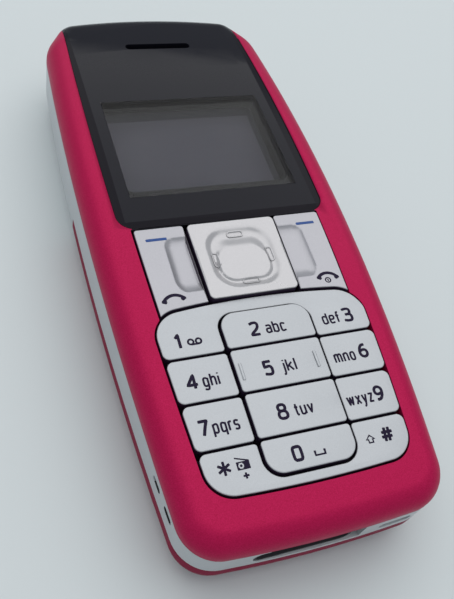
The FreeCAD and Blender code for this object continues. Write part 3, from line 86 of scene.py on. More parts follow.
class PhoneSizes(PropertyGroup):
    """Sizes of the keys' faces, the prints and the window."""

    crown_top: length("Crown top", 17.9, "Height of the front face at the top of its crown")
    crown_radius: length("Crown radius", 560.0, "Radius of the front face along the phone")
    crown_y: length("Crown place", -0.7, "Place of the top of the crown along the phone")
    key_level: length("Key level", 15.5, "Level above which a key's cap is modelled anew")
    key_proud: length("Side key height", 0.3, "How far the outer keys stand over the front face")
    middle_proud: length("Middle key height", 0.7, "How far the middle keys stand over the front face")
    nav_proud: length("Navigation height", 0.8, "How far the navigation key stands over the front face")
    edge_round: length("Edge round", 0.14, "Radius of the round along a key's edge")
    arch_fall: length("Arch fall", 0.2, "Fall of the arched key's upper margin")
    arch_reach: length("Arch reach", 2.2, "Width of the arched key's falling margin")
    scoop_depth: length("Scoop depth", 0.75, "Depth of the thumb scoops beside the navigation key")
    scoop_fall: length("Scoop fall", 1.7, "Width over which a scoop falls to its depth")
    moat_depth: length("Moat depth", 0.62, "Depth of the moat round the navigation pad")
    moat_fall: length("Moat fall", 1.5, "Width over which the moat falls")
    ink_height: length("Ink height", 0.022, "Thickness of a printed legend")
    digit_stroke: length("Digit stroke", 0.45, "Width of the digits' lines")
    small_height: length("Small letter height", 1.32, "Height of a printed x")
    letter_stroke: length("Letter stroke", 0.30, "Width of the letters' lines")
    mark_stroke: length("Mark stroke", 0.30, "Width of the lines in the small marks")
    window_rim: length("Window rim", 1.35, "Width of the sloping rim of the window")
    window_fall: length("Window fall", 0.16, "How far the window's rim falls")


class PhoneColours(PropertyGroup):
    """Colours of the finishes."""

    cover: colour("Cover", (0.37, 0.005, 0.054), "Crimson satin paint of the covers")
    cover_flake: colour("Cover flake", (0.47, 0.010, 0.080), "Flakes in the crimson paint")
    key: colour("Key", (0.43, 0.445, 0.47), "Silver paint of the number keys")
    function_key: colour("Function key", (0.385, 0.38, 0.41), "Silver paint of the two function keys")
    bright_key: colour("Bright key", (0.47, 0.46, 0.475), "Polished silver of the navigation key")
    # Smoky plastic on the keys' sides, darkened to paint the shade in the narrow gaps between the keys
    key_wall_and_gap_shade: colour("Key wall", (0.018, 0.010, 0.026), "Smoky plastic at the sides of the keys")
    ink: colour("Ink", (0.010, 0.006, 0.022), "Printed legends")
    soft_key_ink: colour("Soft key ink", (0.018, 0.06, 0.22), "Bars of the two soft keys")
    band: colour("Band", (0.50, 0.52, 0.54), "Silver paint of the band round the sides")
    window: colour("Window", (0.007, 0.007, 0.012), "Dark print behind the window")
    window_edge: colour("Window rim", (0.006, 0.005, 0.009), "Darker rim of the window")
    screen: colour("Screen", (0.088, 0.086, 0.106), "Screen when it is switched off")


class PhoneStage(PropertyGroup):
    """Camera, floor and lights."""

    camera_place: FloatVectorProperty(
        name="Camera place", description="Where the camera stands", subtype="TRANSLATION", size=3,
        default=(-0.0406, -0.0722, 0.1070), unit="LENGTH",
    )
    camera_turn: FloatVectorProperty(
        name="Camera turn", description="How the camera is turned", subtype="EULER", size=3,
        default=(math.radians(34.75), math.radians(-11.52), math.radians(-17.19)),
    )
    camera_lens: FloatProperty(
        name="Lens", description="Focal length on the sensor", default=45.08, subtype="DISTANCE_CAMERA",
    )
    camera_sensor: FloatProperty(
        name="Sensor", description="Width of the sensor", default=36.0, subtype="DISTANCE_CAMERA",
    )
    camera_near: length("Nearest", 5.0, "Distance at which the camera begins to see")
    floor_reach: length("Floor reach", 1500.0, "Half the width of the floor")
    floor_colour: colour("Floor", (0.62, 0.665, 0.68), "Pale floor")
    room_colour: colour("Room", (0.90, 0.96, 1.0), "Tint of the even light")
    room_light: FloatProperty(name="Room light", description="Strength of the even light", default=0.52)
    light_power: FloatProperty(
        name="Ceiling light", description="Power of the broad light", default=6.8, unit="POWER",
    )
    light_width: length("Light width", 1400.0, "Width of the broad light over the phone")
    light_place: FloatVectorProperty(
        name="Light place", description="Where the broad light hangs", subtype="TRANSLATION", size=3,
        default=(0.1, 0.3, 0.8), unit="LENGTH",
    )
    light_colour: colour("Light colour", (1.0, 0.99, 0.97), "Tint of the broad light")


def sizes():
    """The scene's sizes."""
    return bpy.context.scene.phone_sizes


def colours():
    """The scene's colours."""
    return bpy.context.scene.phone_colours


# Node groups that several finishes share


GRAIN_DETAIL, PATCH_DETAIL, NOISE_ROUGHNESS = 3.0, 5.0, 0.6
PATCH_DISTORTION, BUMP_HEIGHT = 0.6, 0.05 * MM


def group_tree(name, inputs, outputs):
    """A shader node group with named sockets, each given as (kind, name, default)."""
    tree = bpy.data.node_groups.new(name, "ShaderNodeTree")
    for direction, sockets in (("INPUT", inputs), ("OUTPUT", outputs)):
        for kind, label, default in sockets:
            kind = f"NodeSocket{kind}"
            made = tree.interface.new_socket(name=label, in_out=direction, socket_type=kind)
            if default is not None:
                made.default_value = default
    return tree


def math_node(tree, operation, *values):
    """A math node whose inputs are sockets or plain numbers; gives its output."""
    made = tree.nodes.new("ShaderNodeMath")
    made.operation = operation
    for entry, value in zip(made.inputs, values):
        if isinstance(value, bpy.types.NodeSocket):
            tree.links.new(value, entry)
        else:
            entry.default_value = value
    return made.outputs[0]


def noise_at(tree, size_socket, detail):
    """Noise on object coordinates whose grain has the size that a socket gives."""
    place = tree.nodes.new("ShaderNodeTexCoord")
    noise = tree.nodes.new("ShaderNodeTexNoise")
    noise.inputs["Detail"].default_value = detail
    noise.inputs["Roughness"].default_value = NOISE_ROUGHNESS
    tree.links.new(place.outputs["Object"], noise.inputs["Vector"])
    tree.links.new(math_node(tree, "DIVIDE", 1.0, size_socket), noise.inputs["Scale"])
    return noise


def grain_group():
    """Fine paint or moulding grain: a mask between 0 and 1 and the normal that goes with it."""
    tree = bpy.data.node_groups.get("fine_grain")
    if tree:
        return tree
    tree = group_tree(
        "fine_grain",
        [("Float", "Grain size", 0.0002), ("Float", "Depth", 0.1)],
        [("Float", "Mask", None), ("Vector", "Normal", None)],
    )
    entry, leave = tree.nodes.new("NodeGroupInput"), tree.nodes.new("NodeGroupOutput")
    noise = noise_at(tree, entry.outputs["Grain size"], GRAIN_DETAIL)
    bump = tree.nodes.new("ShaderNodeBump")
    bump.inputs["Distance"].default_value = BUMP_HEIGHT
    tree.links.new(noise.outputs["Fac"], bump.inputs["Height"])
    tree.links.new(entry.outputs["Depth"], bump.inputs["Strength"])
    tree.links.new(noise.outputs["Fac"], leave.inputs["Mask"])
    tree.links.new(bump.outputs["Normal"], leave.inputs["Normal"])
    return tree


def handling_group():
    """Broad, faint patches where a surface has been handled, as a mask between 0 and 1."""
    tree = bpy.data.node_groups.get("handling")
    if tree:
        return tree
    tree = group_tree("handling", [("Float", "Patch size", 0.01)], [("Float", "Mask", None)])
    entry, leave = tree.nodes.new("NodeGroupInput"), tree.nodes.new("NodeGroupOutput")
    noise = noise_at(tree, entry.outputs["Patch size"], PATCH_DETAIL)
    noise.inputs["Distortion"].default_value = PATCH_DISTORTION
    tree.links.new(noise.outputs["Fac"], leave.inputs["Mask"])
    return tree


# Finishes


def finish(name, base, **sockets):
    """A Principled material whose plain values sit on the shader's own sockets."""
    material = bpy.data.materials.get(name)
    if material:
        return material, None
    material = bpy.data.materials.new(name)
    material.use_nodes = True
    shader = material.node_tree.nodes["Principled BSDF"]
    shader.inputs["Base Color"].default_value = base
    for key, value in sockets.items():
        shader.inputs[key.replace("_", " ").title().replace("Ior", "IOR")].default_value = value
    return material, shader


def place_group(material, tree, **values):
    """Puts a node group into a material with its own values."""
    made = material.node_tree.nodes.new("ShaderNodeGroup")
    made.node_tree = tree
    for key, value in values.items():
        made.inputs[key.replace("_", " ").capitalize()].default_value = value
    return made


# Range in which nearly all of the noise lies
NOISE_LOW, NOISE_HIGH = 0.35, 0.65


def spread(material, mask, low, high):
    """Turns a noise mask into a value between two levels."""
    made = material.node_tree.nodes.new("ShaderNodeMapRange")
    made.inputs["From Min"].default_value = NOISE_LOW
    made.inputs["From Max"].default_value = NOISE_HIGH
    made.inputs["To Min"].default_value = low
    made.inputs["To Max"].default_value = high
    material.node_tree.links.new(mask, made.inputs["Value"])
    return made.outputs["Result"]


def blend_colour(material, mask, first, second):
    """A colour between two, picked by a mask."""
    made = material.node_tree.nodes.new("ShaderNodeMix")
    made.data_type = "RGBA"
    made.inputs["A"].default_value = first
    made.inputs["B"].default_value = second
    material.node_tree.links.new(mask, made.inputs["Factor"])
    return made.outputs["Result"]


def grained(name, base, flake, size, depth, rough, patch=12.0 * MM, **sockets):
    """A finish with fine grain in its colour and normal and with broad patches in its gloss."""
    material, shader = finish(name, base, **sockets)
    if shader is None:
        return material
    link = material.node_tree.links.new
    grain = place_group(material, grain_group(), grain_size=size, depth=depth)
    handled = place_group(material, handling_group(), patch_size=patch)
    tint = spread(material, grain.outputs["Mask"], 0.0, 1.0)
    link(blend_colour(material, tint, base, flake), shader.inputs["Base Color"])
    link(spread(material, handled.outputs["Mask"], *rough), shader.inputs["Roughness"])
    link(grain.outputs["Normal"], shader.inputs["Normal"])
    return material


def shade(tone, factor):
    """A colour made darker or lighter."""
    return (*[min(part * factor, 1.0) for part in tone[:3]], 1.0)


def cover_paint(name, factor, rough, **sockets):
    """The crimson paint with its own flakes, darkened by a factor; on the back cover the factor paints
    shade.
    """
    tone = colours()
    return grained(
        name, shade(tone.cover, factor), shade(tone.cover_flake, factor), size=0.16 * MM, depth=0.10,
        rough=rough, **sockets,
    )


def front_paint():
    """Paint of the front cover."""
    return cover_paint("crimson_satin", 1.0, (0.40, 0.46), metallic=0.25, specular_ior_level=0.1)


def back_paint_with_shade():
    """Crimson paint of the back cover, darkened to paint the shade on the phone's rounded lower edge."""
    return cover_paint("deep_crimson", 0.55, (0.42, 0.48), specular_ior_level=0.04)


# Outer finishes: colour, how much paler its grain is, grain in mm, depth, roughness, patches in mm
OUTER_FINISHES = {
    "silver_key_paint": ("key", 1.08, 0.14, 0.05, (0.30, 0.36), 12.0, {"metallic": 0.35}),
    "satin_silver_paint": ("function_key", 1.08, 0.14, 0.05, (0.28, 0.34), 12.0, {"metallic": 0.55}),
    "bright_silver_paint": ("bright_key", 1.08, 0.14, 0.02, (0.22, 0.28), 12.0, {"metallic": 0.5}),
    "silver_band_paint": ("band", 1.08, 0.14, 0.08, (0.32, 0.42), 12.0, {"metallic": 0.4}),
    # The keys' sides: smoky plastic, made darker to paint the shade in the gaps
    "smoky_key_side": ("key_wall_and_gap_shade", 1.6, 0.2, 0.05, (0.35, 0.5), 12.0, {}),
    "printed_ink": ("ink", 1.5, 0.1, 0.05, (0.5, 0.6), 12.0, {"specular_ior_level": 0.12}),
    "blue_ink": ("soft_key_ink", 1.3, 0.1, 0.05, (0.4, 0.5), 12.0, {"specular_ior_level": 0.3}),
    "window_print": ("window", 1.15, 0.3, 0.0, (0.04, 0.08), 20.0, {"specular_ior_level": 0.13}),
    "window_edge": ("window_edge", 1.15, 0.3, 0.0, (0.15, 0.2), 20.0, {"specular_ior_level": 0.08}),
}


def outer_finish(name):
    """One of the outer finishes, in the colour that the scene's settings give."""
    part, paler, size, depth, rough, patch, sockets = OUTER_FINISHES[name]
    tone = tuple(getattr(colours(), part))
    return grained(name, tone, shade(tone, paler), size * MM, depth, rough, patch * MM, **sockets)


def clear_acrylic():
    """Coated acrylic, whose weak reflection comes from its low index."""
    tint, faded, patch = (0.90, 0.90, 0.91, 1.0), (0.85, 0.85, 0.87, 1.0), 20.0 * MM
    material, shader = finish("clear_acrylic", tint, roughness=0.0, ior=1.2, transmission_weight=1.0)
    if shader:
        handled = place_group(material, handling_group(), patch_size=patch)
        mask = spread(material, handled.outputs["Mask"], 0.0, 1.0)
        material.node_tree.links.new(
            blend_colour(material, mask, tint, faded), shader.inputs["Base Color"]
        )
    return material


# Finishes of what the casing hides or half hides: base, flake, grain in mm, depth, roughness, metallic
INNER_FINISHES = {
    "dark_rubber": ((0.016, 0.010, 0.022), (0.03, 0.02, 0.04), 0.15, 0.2, (0.6, 0.75), 0.0),
    # Black plastic of inner parts, also put on the band's slot walls as their painted shade
    "black_plastic": ((0.012, 0.012, 0.013), (0.02, 0.02, 0.022), 0.2, 0.15, (0.4, 0.5), 0.0),
    "grey_plastic": ((0.085, 0.085, 0.09), (0.1, 0.1, 0.105), 0.25, 0.1, (0.45, 0.55), 0.0),
    "frosted_plastic": ((0.72, 0.75, 0.78), (0.8, 0.82, 0.84), 0.3, 0.05, (0.3, 0.4), 0.0),
    "green_solder_mask": ((0.01, 0.11, 0.05), (0.02, 0.16, 0.07), 0.6, 0.1, (0.3, 0.4), 0.0),
    "bright_steel": ((0.6, 0.6, 0.62), (0.68, 0.68, 0.7), 0.2, 0.05, (0.22, 0.32), 1.0),
    "gold_plate": ((0.75, 0.52, 0.18), (0.85, 0.62, 0.24), 0.2, 0.04, (0.2, 0.3), 1.0),
    "battery_film": ((0.03, 0.03, 0.034), (0.05, 0.05, 0.055), 0.4, 0.08, (0.28, 0.4), 0.0),
    "card_plastic": ((0.7, 0.71, 0.73), (0.76, 0.77, 0.79), 0.3, 0.04, (0.35, 0.45), 0.0),
    "black_foam": ((0.008, 0.008, 0.009), (0.015, 0.015, 0.016), 0.25, 0.4, (0.8, 0.9), 0.0),
}


def plain_finish(name):
    """One of the inner finishes."""
    base, flake, size, depth, rough, metal = INNER_FINISHES[name]
    return grained(name, (*base, 1.0), (*flake, 1.0), size * MM, depth, rough, metallic=metal)


# Shaping helpers


def add_object(name, data):
    """Puts a new object into the scene."""
    made = bpy.data.objects.new(name, data)
    bpy.context.scene.collection.objects.link(made)
    return made


def piece_from(bm, name, materials, body, replaces=(), smooth=35.0):
    """Makes a finished piece of a bmesh and hangs it on its CAD body."""
    mesh = bpy.data.meshes.new(name)
    bm.to_mesh(mesh)
    bm.free()
    made = add_object(name, mesh)
    for material in materials:
        mesh.materials.append(material)
    mesh.shade_smooth()
    mesh.set_sharp_from_angle(angle=math.radians(smooth))
    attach(made, body)
    if replaces:
        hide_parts(*replaces)
    return made


def joined(name):
    """A bmesh copy of a CAD node whose loose triangles are joined again."""
    bm = bmesh.new()
    bm.from_mesh(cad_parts[name].data)
    bmesh.ops.remove_doubles(bm, verts=bm.verts, dist=WELD)
    bmesh.ops.dissolve_degenerate(bm, edges=bm.edges, dist=SLIVER)
    return bm


# Turn between faces that still count as level
LEVEL_ANGLE = math.radians(0.2)


def welded(name):
    """A joined copy of a CAD node whose level triangles are merged into whole faces."""
    bm = joined(name)
    bmesh.ops.dissolve_limit(
        bm, angle_limit=LEVEL_ANGLE, verts=bm.verts, edges=bm.edges, use_dissolve_boundaries=False
    )
    return bm


def paint(name, material):
    """Gives a CAD node that stays its finish."""
    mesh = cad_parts[name].data
    mesh.materials.clear()
    mesh.materials.append(material)


def everything(bm):
    """All points, edges and faces of a bmesh."""
    return bm.verts[:] + bm.edges[:] + bm.faces[:]


def crown(y, proud=0.0):
    """Height of the crowned front face, or of a surface that stands proud of it."""
    measure = sizes()
    radius = measure.crown_radius + proud
    drop = y - measure.crown_y
    return measure.crown_top - measure.crown_radius + math.sqrt(radius * radius - drop * drop)


def smooth_step(value):
    """A share between 0 and 1, eased at both ends."""
    value = min(max(value, 0.0), 1.0)
    return value * value * (3.0 - 2.0 * value)


def inside_round(x, y, half_x, half_y, corner):
    """Depth of a point inside a rounded rectangle round the origin; negative outside."""
    over_x, over_y = abs(x) - (half_x - corner), abs(y) - (half_y - corner)
    outer = math.hypot(max(over_x, 0.0), max(over_y, 0.0)) + min(max(over_x, over_y), 0.0)
    return corner - outer


def edge_drop(distance, radius):
    """How far a rounded edge lies under the face at a distance from the outline."""
    if distance >= radius:
        return 0.0
    reach = radius - distance
    return radius - math.sqrt(radius * radius - reach * reach)


# Step for measuring an outline's slope, and the least slope that gives a direction
PROBE, LEAST_SLOPE = 0.02 * MM, 0.2


def settle(v, outline, reach):
    """Moves a point that lies close to an outline onto it, so that the outline's edge is crisp."""
    away = outline(v.co.x, v.co.y)
    if abs(away) >= reach:
        return
    slope_x = (outline(v.co.x + PROBE, v.co.y) - outline(v.co.x - PROBE, v.co.y)) / (2 * PROBE)
    slope_y = (outline(v.co.x, v.co.y + PROBE) - outline(v.co.x, v.co.y - PROBE)) / (2 * PROBE)
    steep = slope_x * slope_x + slope_y * slope_y
    if steep > LEAST_SLOPE:
        v.co.x -= away * slope_x / steep
        v.co.y -= away * slope_y / steep


def cut_cap(bm, level):
    """Cuts a key at a level and closes it; gives the closing face and its border as pairs of points."""
    bmesh.ops.bisect_plane(
        bm, geom=everything(bm), dist=TOUCH, plane_co=(0, 0, level), plane_no=(0, 0, 1), clear_outer=True
    )
    bmesh.ops.contextual_create(bm, geom=[e for e in bm.edges if e.is_boundary])
    bm.normal_update()
    cap = max(bm.faces, key=lambda f: (f.calc_center_median().z, f.calc_area()))
    return cap, [(e.verts[0].co.copy(), e.verts[1].co.copy()) for e in cap.edges]


# Marks of a key's faces while it is shaped, and the places of its two finishes
SHAPED, REST = 2, 0
FACE_FINISH, SIDE_FINISH = 0, 1
# Insets that make the rounded edge, in shares of its radius
EDGE_STEPS = (0.06, 0.14, 0.22, 0.26, 0.32)
# How near an outline a point moves onto it, in shares of the grid
SETTLE_SHARE = 0.45
# How far upwards a face of the cap looks at least
FACE_TURN = 0.15


def cut_grid(bm, border, spacing):
    """Cuts the shaped face into strips across and along the phone."""
    for axis, step in enumerate(spacing):
        if not step:
            continue
        low = min(start[axis] for start, _ in border)
        high = max(start[axis] for start, _ in border)
        count = int((high - low) / step)
        facing = Vector((1, 0, 0)) if axis == 0 else Vector((0, 1, 0))
        for n in range(1, count + 1):
            inner = [f for f in bm.faces if f.material_index == SHAPED]
            edges = [e for f in inner for e in f.edges]
            corners = [v for f in inner for v in f.verts]
            near = list(dict.fromkeys([*inner, *edges, *corners]))
            place = facing * (low + (high - low) * n / (count + 1))
            bmesh.ops.bisect_plane(bm, geom=near, dist=TOUCH, plane_co=place, plane_no=facing)


def in_order(elements, place):
    """Puts the points or the faces of a bmesh in an order that is the same each run."""
    rank = {element: n for n, element in enumerate(sorted(elements, key=place))}
    elements.sort(key=rank.get)


def capped_key(name, spacing, outlines=()):
    """A CAD key whose cap is modelled anew: the same outline, a rounded edge and a shaped face.

    spacing is the mesh's grid across and along the phone, and outlines give the signed distance from
    lines where the face has an edge.
    """
    height = key_heights()[name]
    measure = sizes()
    level = measure.key_level
    bm = welded(name)
    cap, border = cut_cap(bm, level)
    grown = bmesh.ops.extrude_face_region(bm, geom=[cap])["geom"]
    bmesh.ops.delete(bm, geom=[cap], context="FACES_ONLY")
    for v in grown:
        if isinstance(v, bmesh.types.BMVert):
            v.co.z = height(v.co.x, v.co.y) - measure.edge_round
    front = next(f for f in grown if isinstance(f, bmesh.types.BMFace))
    for share in EDGE_STEPS:
        bmesh.ops.inset_region(
            bm, faces=[front], thickness=share * measure.edge_round, use_even_offset=True
        )
    for face in bm.faces:
        face.material_index = REST
    front.material_index = SHAPED
    cut_grid(bm, border, spacing)
    inner = {v for f in bm.faces if f.material_index == SHAPED for v in f.verts}
    rim = {v for v in inner if any(f.material_index != SHAPED for f in v.link_faces)}
    for v in bm.verts:
        if v.co.z <= level + TOUCH:
            continue
        if v in inner and v not in rim:
            for outline in outlines:
                settle(v, outline, SETTLE_SHARE * spacing[1])
            v.co.z = height(v.co.x, v.co.y)
            continue
        flat = Vector((v.co.x, v.co.y, level))
        away = min(segment_distance(flat, a, b) for a, b in border)
        v.co.z = height(v.co.x, v.co.y) - edge_drop(away, measure.edge_round)
    bmesh.ops.triangulate(bm, faces=[f for f in bm.faces if len(f.verts) > 4])
    bm.normal_update()
    # Faces that don't look up get the side finish, whose dark colour paints the shade in the gaps
    for face in bm.faces:
        upward = face.normal.z > FACE_TURN and face.calc_center_median().z > level
        face.material_index = FACE_FINISH if upward else SIDE_FINISH
    in_order(bm.verts, lambda v: tuple(v.co))
    in_order(bm.faces, lambda f: tuple(f.calc_center_median()))
    return bm


def segment_distance(point, start, end):
    """Distance of a point from a straight stretch."""
    near, share = intersect_point_line(point, start, end)
    if share <= 0.0:
        near = start
    elif share >= 1.0:
        near = end
    return (point - near).length


# Heights of the keys' faces


def side_height(x, y):
    """Face of the outer number keys."""
    return crown(y, sizes().key_proud)


def middle_height(x, y):
    """Face of the middle number keys."""
    return crown(y, sizes().middle_proud)


# Where the arched key's upper margin begins, along the phone
ARCH_TOP = -20.05 * MM


def arch_height(x, y):
    """Face of the arched key, whose upper margin rolls down a little."""
    measure = sizes()
    share = 1.0 - (ARCH_TOP - y) / measure.arch_reach
    return crown(y, measure.key_proud) - measure.arch_fall * smooth_step(share)


# Ends and outer edges of the two scoops, and how much wider than their sides the ends fall
SCOOP_LOW, SCOOP_TOP = -15.25 * MM, -5.0 * MM
SCOOP_OUTER = {"left_function_key": -11.5 * MM, "right_function_key": 11.75 * MM}
SCOOP_LOW_FALL, SCOOP_TOP_FALL = 1.5, 1.05


def scoop_share(name):
    """How far outside the level floor of a scoop a place lies; one is the scoop's rim."""
    fall = sizes().scoop_fall
    outer = SCOOP_OUTER[name]
    side = math.copysign(1.0, outer)

    def share(x, y):
        across = max(0.0, 1.0 - (outer - x) * side / fall)
        below = max(0.0, 1.0 - (y - SCOOP_LOW) / (fall * SCOOP_LOW_FALL))
        above = max(0.0, 1.0 - (SCOOP_TOP - y) / (fall * SCOOP_TOP_FALL))
        return math.hypot(across, max(below, above))

    return share


def scoop_rim(name):
    """Distance from a scoop's rim, negative inside the scoop."""
    share = scoop_share(name)

    def rim(x, y):
        return (share(x, y) - 1.0) * sizes().scoop_fall

    return rim


def scoop_height(name):
    """Face of a function key, with the thumb scoop that opens towards the navigation key."""
    share = scoop_share(name)
    depth = sizes().scoop_depth

    def height(x, y):
        return crown(y, sizes().key_proud) - depth * max(0.0, 1.0 - share(x, y) ** 2)

    return height


# Rounded outlines of the moat and of the pad in it, and how far the pad lies under the face
MOAT_X, MOAT_Y, MOAT_HALF, MOAT_CORNER = 0.2 * MM, -10.2 * MM, 5.85 * MM, 4.0 * MM
PAD_Y, PAD_HALF_X, PAD_HALF_Y, PAD_CORNER = -11.45 * MM, 3.95 * MM, 2.6 * MM, 2.1 * MM
PAD_TOP_DROP, PAD_LOW_DROP = 0.04 * MM, 0.30 * MM


def moat_depth_in(x, y):
    """How far inside the moat's outline a place lies."""
    return inside_round(x - MOAT_X, y - MOAT_Y, MOAT_HALF, MOAT_HALF, MOAT_CORNER)


def pad_depth_in(x, y):
    """How far inside the pad's outline a place lies."""
    return inside_round(x, y - PAD_Y, PAD_HALF_X, PAD_HALF_Y, PAD_CORNER)


def nav_height(x, y):
    """Face of the navigation key: a moat sunk round a raised, sloping pad."""
    measure = sizes()
    face = crown(y, measure.nav_proud)
    inside = moat_depth_in(x, y)
    if inside <= 0.0:
        return face
    if inside < measure.moat_fall:
        return face - measure.moat_depth * smooth_step(inside / measure.moat_fall)
    away = -pad_depth_in(x, y)
    down = (PAD_Y + PAD_HALF_Y - y) / (2 * PAD_HALF_Y)
    pad = PAD_TOP_DROP + (PAD_LOW_DROP - PAD_TOP_DROP) * min(max(down, 0.0), 1.0)
    if away <= 0.0:
        return face - pad
    share = smooth_step((inside - measure.moat_fall) / (inside - measure.moat_fall + away))
    return face - measure.moat_depth * (1.0 - share) - pad * share


def key_heights():
    """The face of every key, by name."""
    made = {name: side_height for name in ("key_4", "key_6", "key_7", "key_9", "key_star_hash")}
    made.update({name: middle_height for name in ("key_2", "key_5", "key_8", "key_0")})
    made["key_1_3"] = arch_height
    for name in SCOOP_OUTER:
        made[name] = scoop_height(name)
    made["navigation_key"] = nav_height
    return made


# Printed legends


def cut_corners(points, closed):
    """Rounds a line through some points by cutting its corners twice; a doubled point stays sharp."""
    for _ in range(2):
        pairs = list(zip(points, points[1:] + points[:1])) if closed else list(zip(points, points[1:]))
        rounded = [] if closed else [points[0]]
        for (ax, ay), (bx, by) in pairs:
            rounded.append((ax * 0.75 + bx * 0.25, ay * 0.75 + by * 0.25))
            rounded.append((ax * 0.25 + bx * 0.75, ay * 0.25 + by * 0.75))
        points = rounded if closed else [*rounded, points[-1]]
    return points


# Roundness of a line, how far its tips go on in shares of its half width, and how thick they are
LINE_SIDES = 3
TIP_REACH, TIP_SIZE = 0.4, 0.72


def stroke(bm, points, width, closed=False, smooth=True):
    """Adds a line with full ends through some points, as a tube of the line's width."""
    if smooth and len(points) > 2:
        points = cut_corners(points, closed)
    reach = width / 2
    if not closed:
        tips = []
        for (ax, ay), (bx, by) in ((points[0], points[1]), (points[-1], points[-2])):
            size = math.hypot(ax - bx, ay - by) or 1.0
            further = reach * TIP_REACH / size
            tips.append((ax + (ax - bx) * further, ay + (ay - by) * further))
        points = [tips[0], *points, tips[1]]
    curve = bpy.data.curves.new("line", "CURVE")
    curve.dimensions = "3D"
    curve.bevel_depth = reach
    curve.bevel_resolution = LINE_SIDES
    curve.use_fill_caps = True
    spline = curve.splines.new("POLY")
    spline.points.add(len(points) - 1)
    for n, (point, (x, y)) in enumerate(zip(spline.points, points)):
        point.co = (x, y, 0.0, 1.0)
        point.radius = TIP_SIZE if not closed and n in (0, len(points) - 1) else 1.0
    spline.use_cyclic_u = closed
    holder = add_object("line", curve)
    bpy.context.view_layer.update()
    graph = bpy.context.evaluated_depsgraph_get()
    mesh = bpy.data.meshes.new_from_object(holder.evaluated_get(graph))
    bm.from_mesh(mesh)
    bpy.data.objects.remove(holder)
    bpy.data.curves.remove(curve)
    bpy.data.meshes.remove(mesh)


def arc(x, y, radius, start, end, steps):
    """Points along a circle between two angles in degrees."""
    turn = [math.radians(start + (end - start) * n / steps) for n in range(steps + 1)]
    return [(x + radius * math.cos(a), y + radius * math.sin(a)) for a in turn]


# Middle and half thickness of a legend over the face, in shares of the ink's thickness
INK_MIDDLE, INK_HALF = 0.55, 0.5


def print_on(bm, name, x, y, key, material, rise=1.0):
    """Lays drawn lines on a key's face and flattens them to the ink's thickness, times rise."""
    height = key_heights()[key]
    ink = sizes().ink_height * rise
    bmesh.ops.remove_doubles(bm, verts=bm.verts, dist=TOUCH)
    reach = max(abs(v.co.z) for v in bm.verts)
    for v in bm.verts:
        v.co.x += x
        v.co.y += y
        v.co.z = height(v.co.x, v.co.y) + ink * (INK_MIDDLE + INK_HALF * v.co.z / reach)
    bmesh.ops.recalc_face_normals(bm, faces=bm.faces)
    piece_from(bm, name, [material], key)


# Lines of the digits and letters, in shares of their width and height; a doubled point is a corner
NINE = [(0.15, 0.0), (0.6, 0.03), (0.95, 0.4), (1.0, 0.8), (0.7, 1.0), (0.25, 1.0), (0.0, 0.8),
        (0.05, 0.5), (0.4, 0.4), (0.9, 0.5)]
GLYPHS = {
    "1": [[(-0.15, 0.76), (0.7, 1.0), (0.7, 1.0), (0.7, 1.0), (0.7, 0.0)]],
    "2": [[(0.0, 0.93), (0.4, 1.03), (1.0, 1.0), (0.98, 0.55), (0.03, 0.12), (0.0, 0.0), (0.0, 0.0),
           (1.0, 0.0)]],
    "3": [[(0.03, 0.97), (0.5, 1.03), (0.97, 0.98), (0.95, 0.6), (0.6, 0.53), (0.3, 0.53)],
          [(0.6, 0.53), (1.02, 0.5), (1.03, 0.02), (0.5, -0.03), (0.0, 0.05)]],
    "4": [[(0.78, 0.0), (0.78, 1.0), (0.78, 1.0), (0.0, 0.26), (0.0, 0.26), (1.05, 0.26)]],
    "5": [[(0.95, 1.0), (0.1, 1.0), (0.1, 1.0), (0.08, 0.57), (0.08, 0.57), (0.98, 0.66), (1.02, 0.02),
           (0.5, -0.04), (0.0, 0.04)]],
    "6": [[(1.0 - x, 1.0 - y) for x, y in NINE]],
    "7": [[(0.0, 1.0), (1.0, 1.0), (1.0, 1.0), (0.62, 0.5), (0.35, 0.0)]],
    "9": [NINE],
    "#": [[(0.26, 0.0), (0.42, 1.0)], [(0.66, 0.0), (0.82, 1.0)], [(0.0, 0.32), (1.0, 0.32)],
          [(0.08, 0.68), (1.08, 0.68)]],
}
ROUNDS = {
    "8": [[(0.08, 0.55), (0.92, 0.55), (0.95, 1.02), (0.05, 1.02)],
          [(0.0, 0.54), (1.0, 0.54), (1.05, -0.02), (-0.05, -0.02)]],
    "0": [[(0.0, 0.0), (0.5, -0.03), (1.0, 0.0), (1.03, 0.5), (1.0, 1.0), (0.5, 1.03), (0.0, 1.0),
           (-0.03, 0.5)]],
}

# Tops of tall letters and feet of hanging ones, then the bows that letters share
ROOF, LEG = 1.42, -0.42
BOWL = [(0.0, 0.12), (0.4, -0.03), (0.95, 0.0), (1.0, 0.5), (0.95, 1.0), (0.4, 1.03), (0.0, 0.88)]
OPEN_BOWL = [(1.0 - x, y) for x, y in BOWL]
HUMP = [(0.0, 0.75), (0.25, 1.03), (0.9, 1.03), (1.0, 0.75), (1.0, 0.0)]
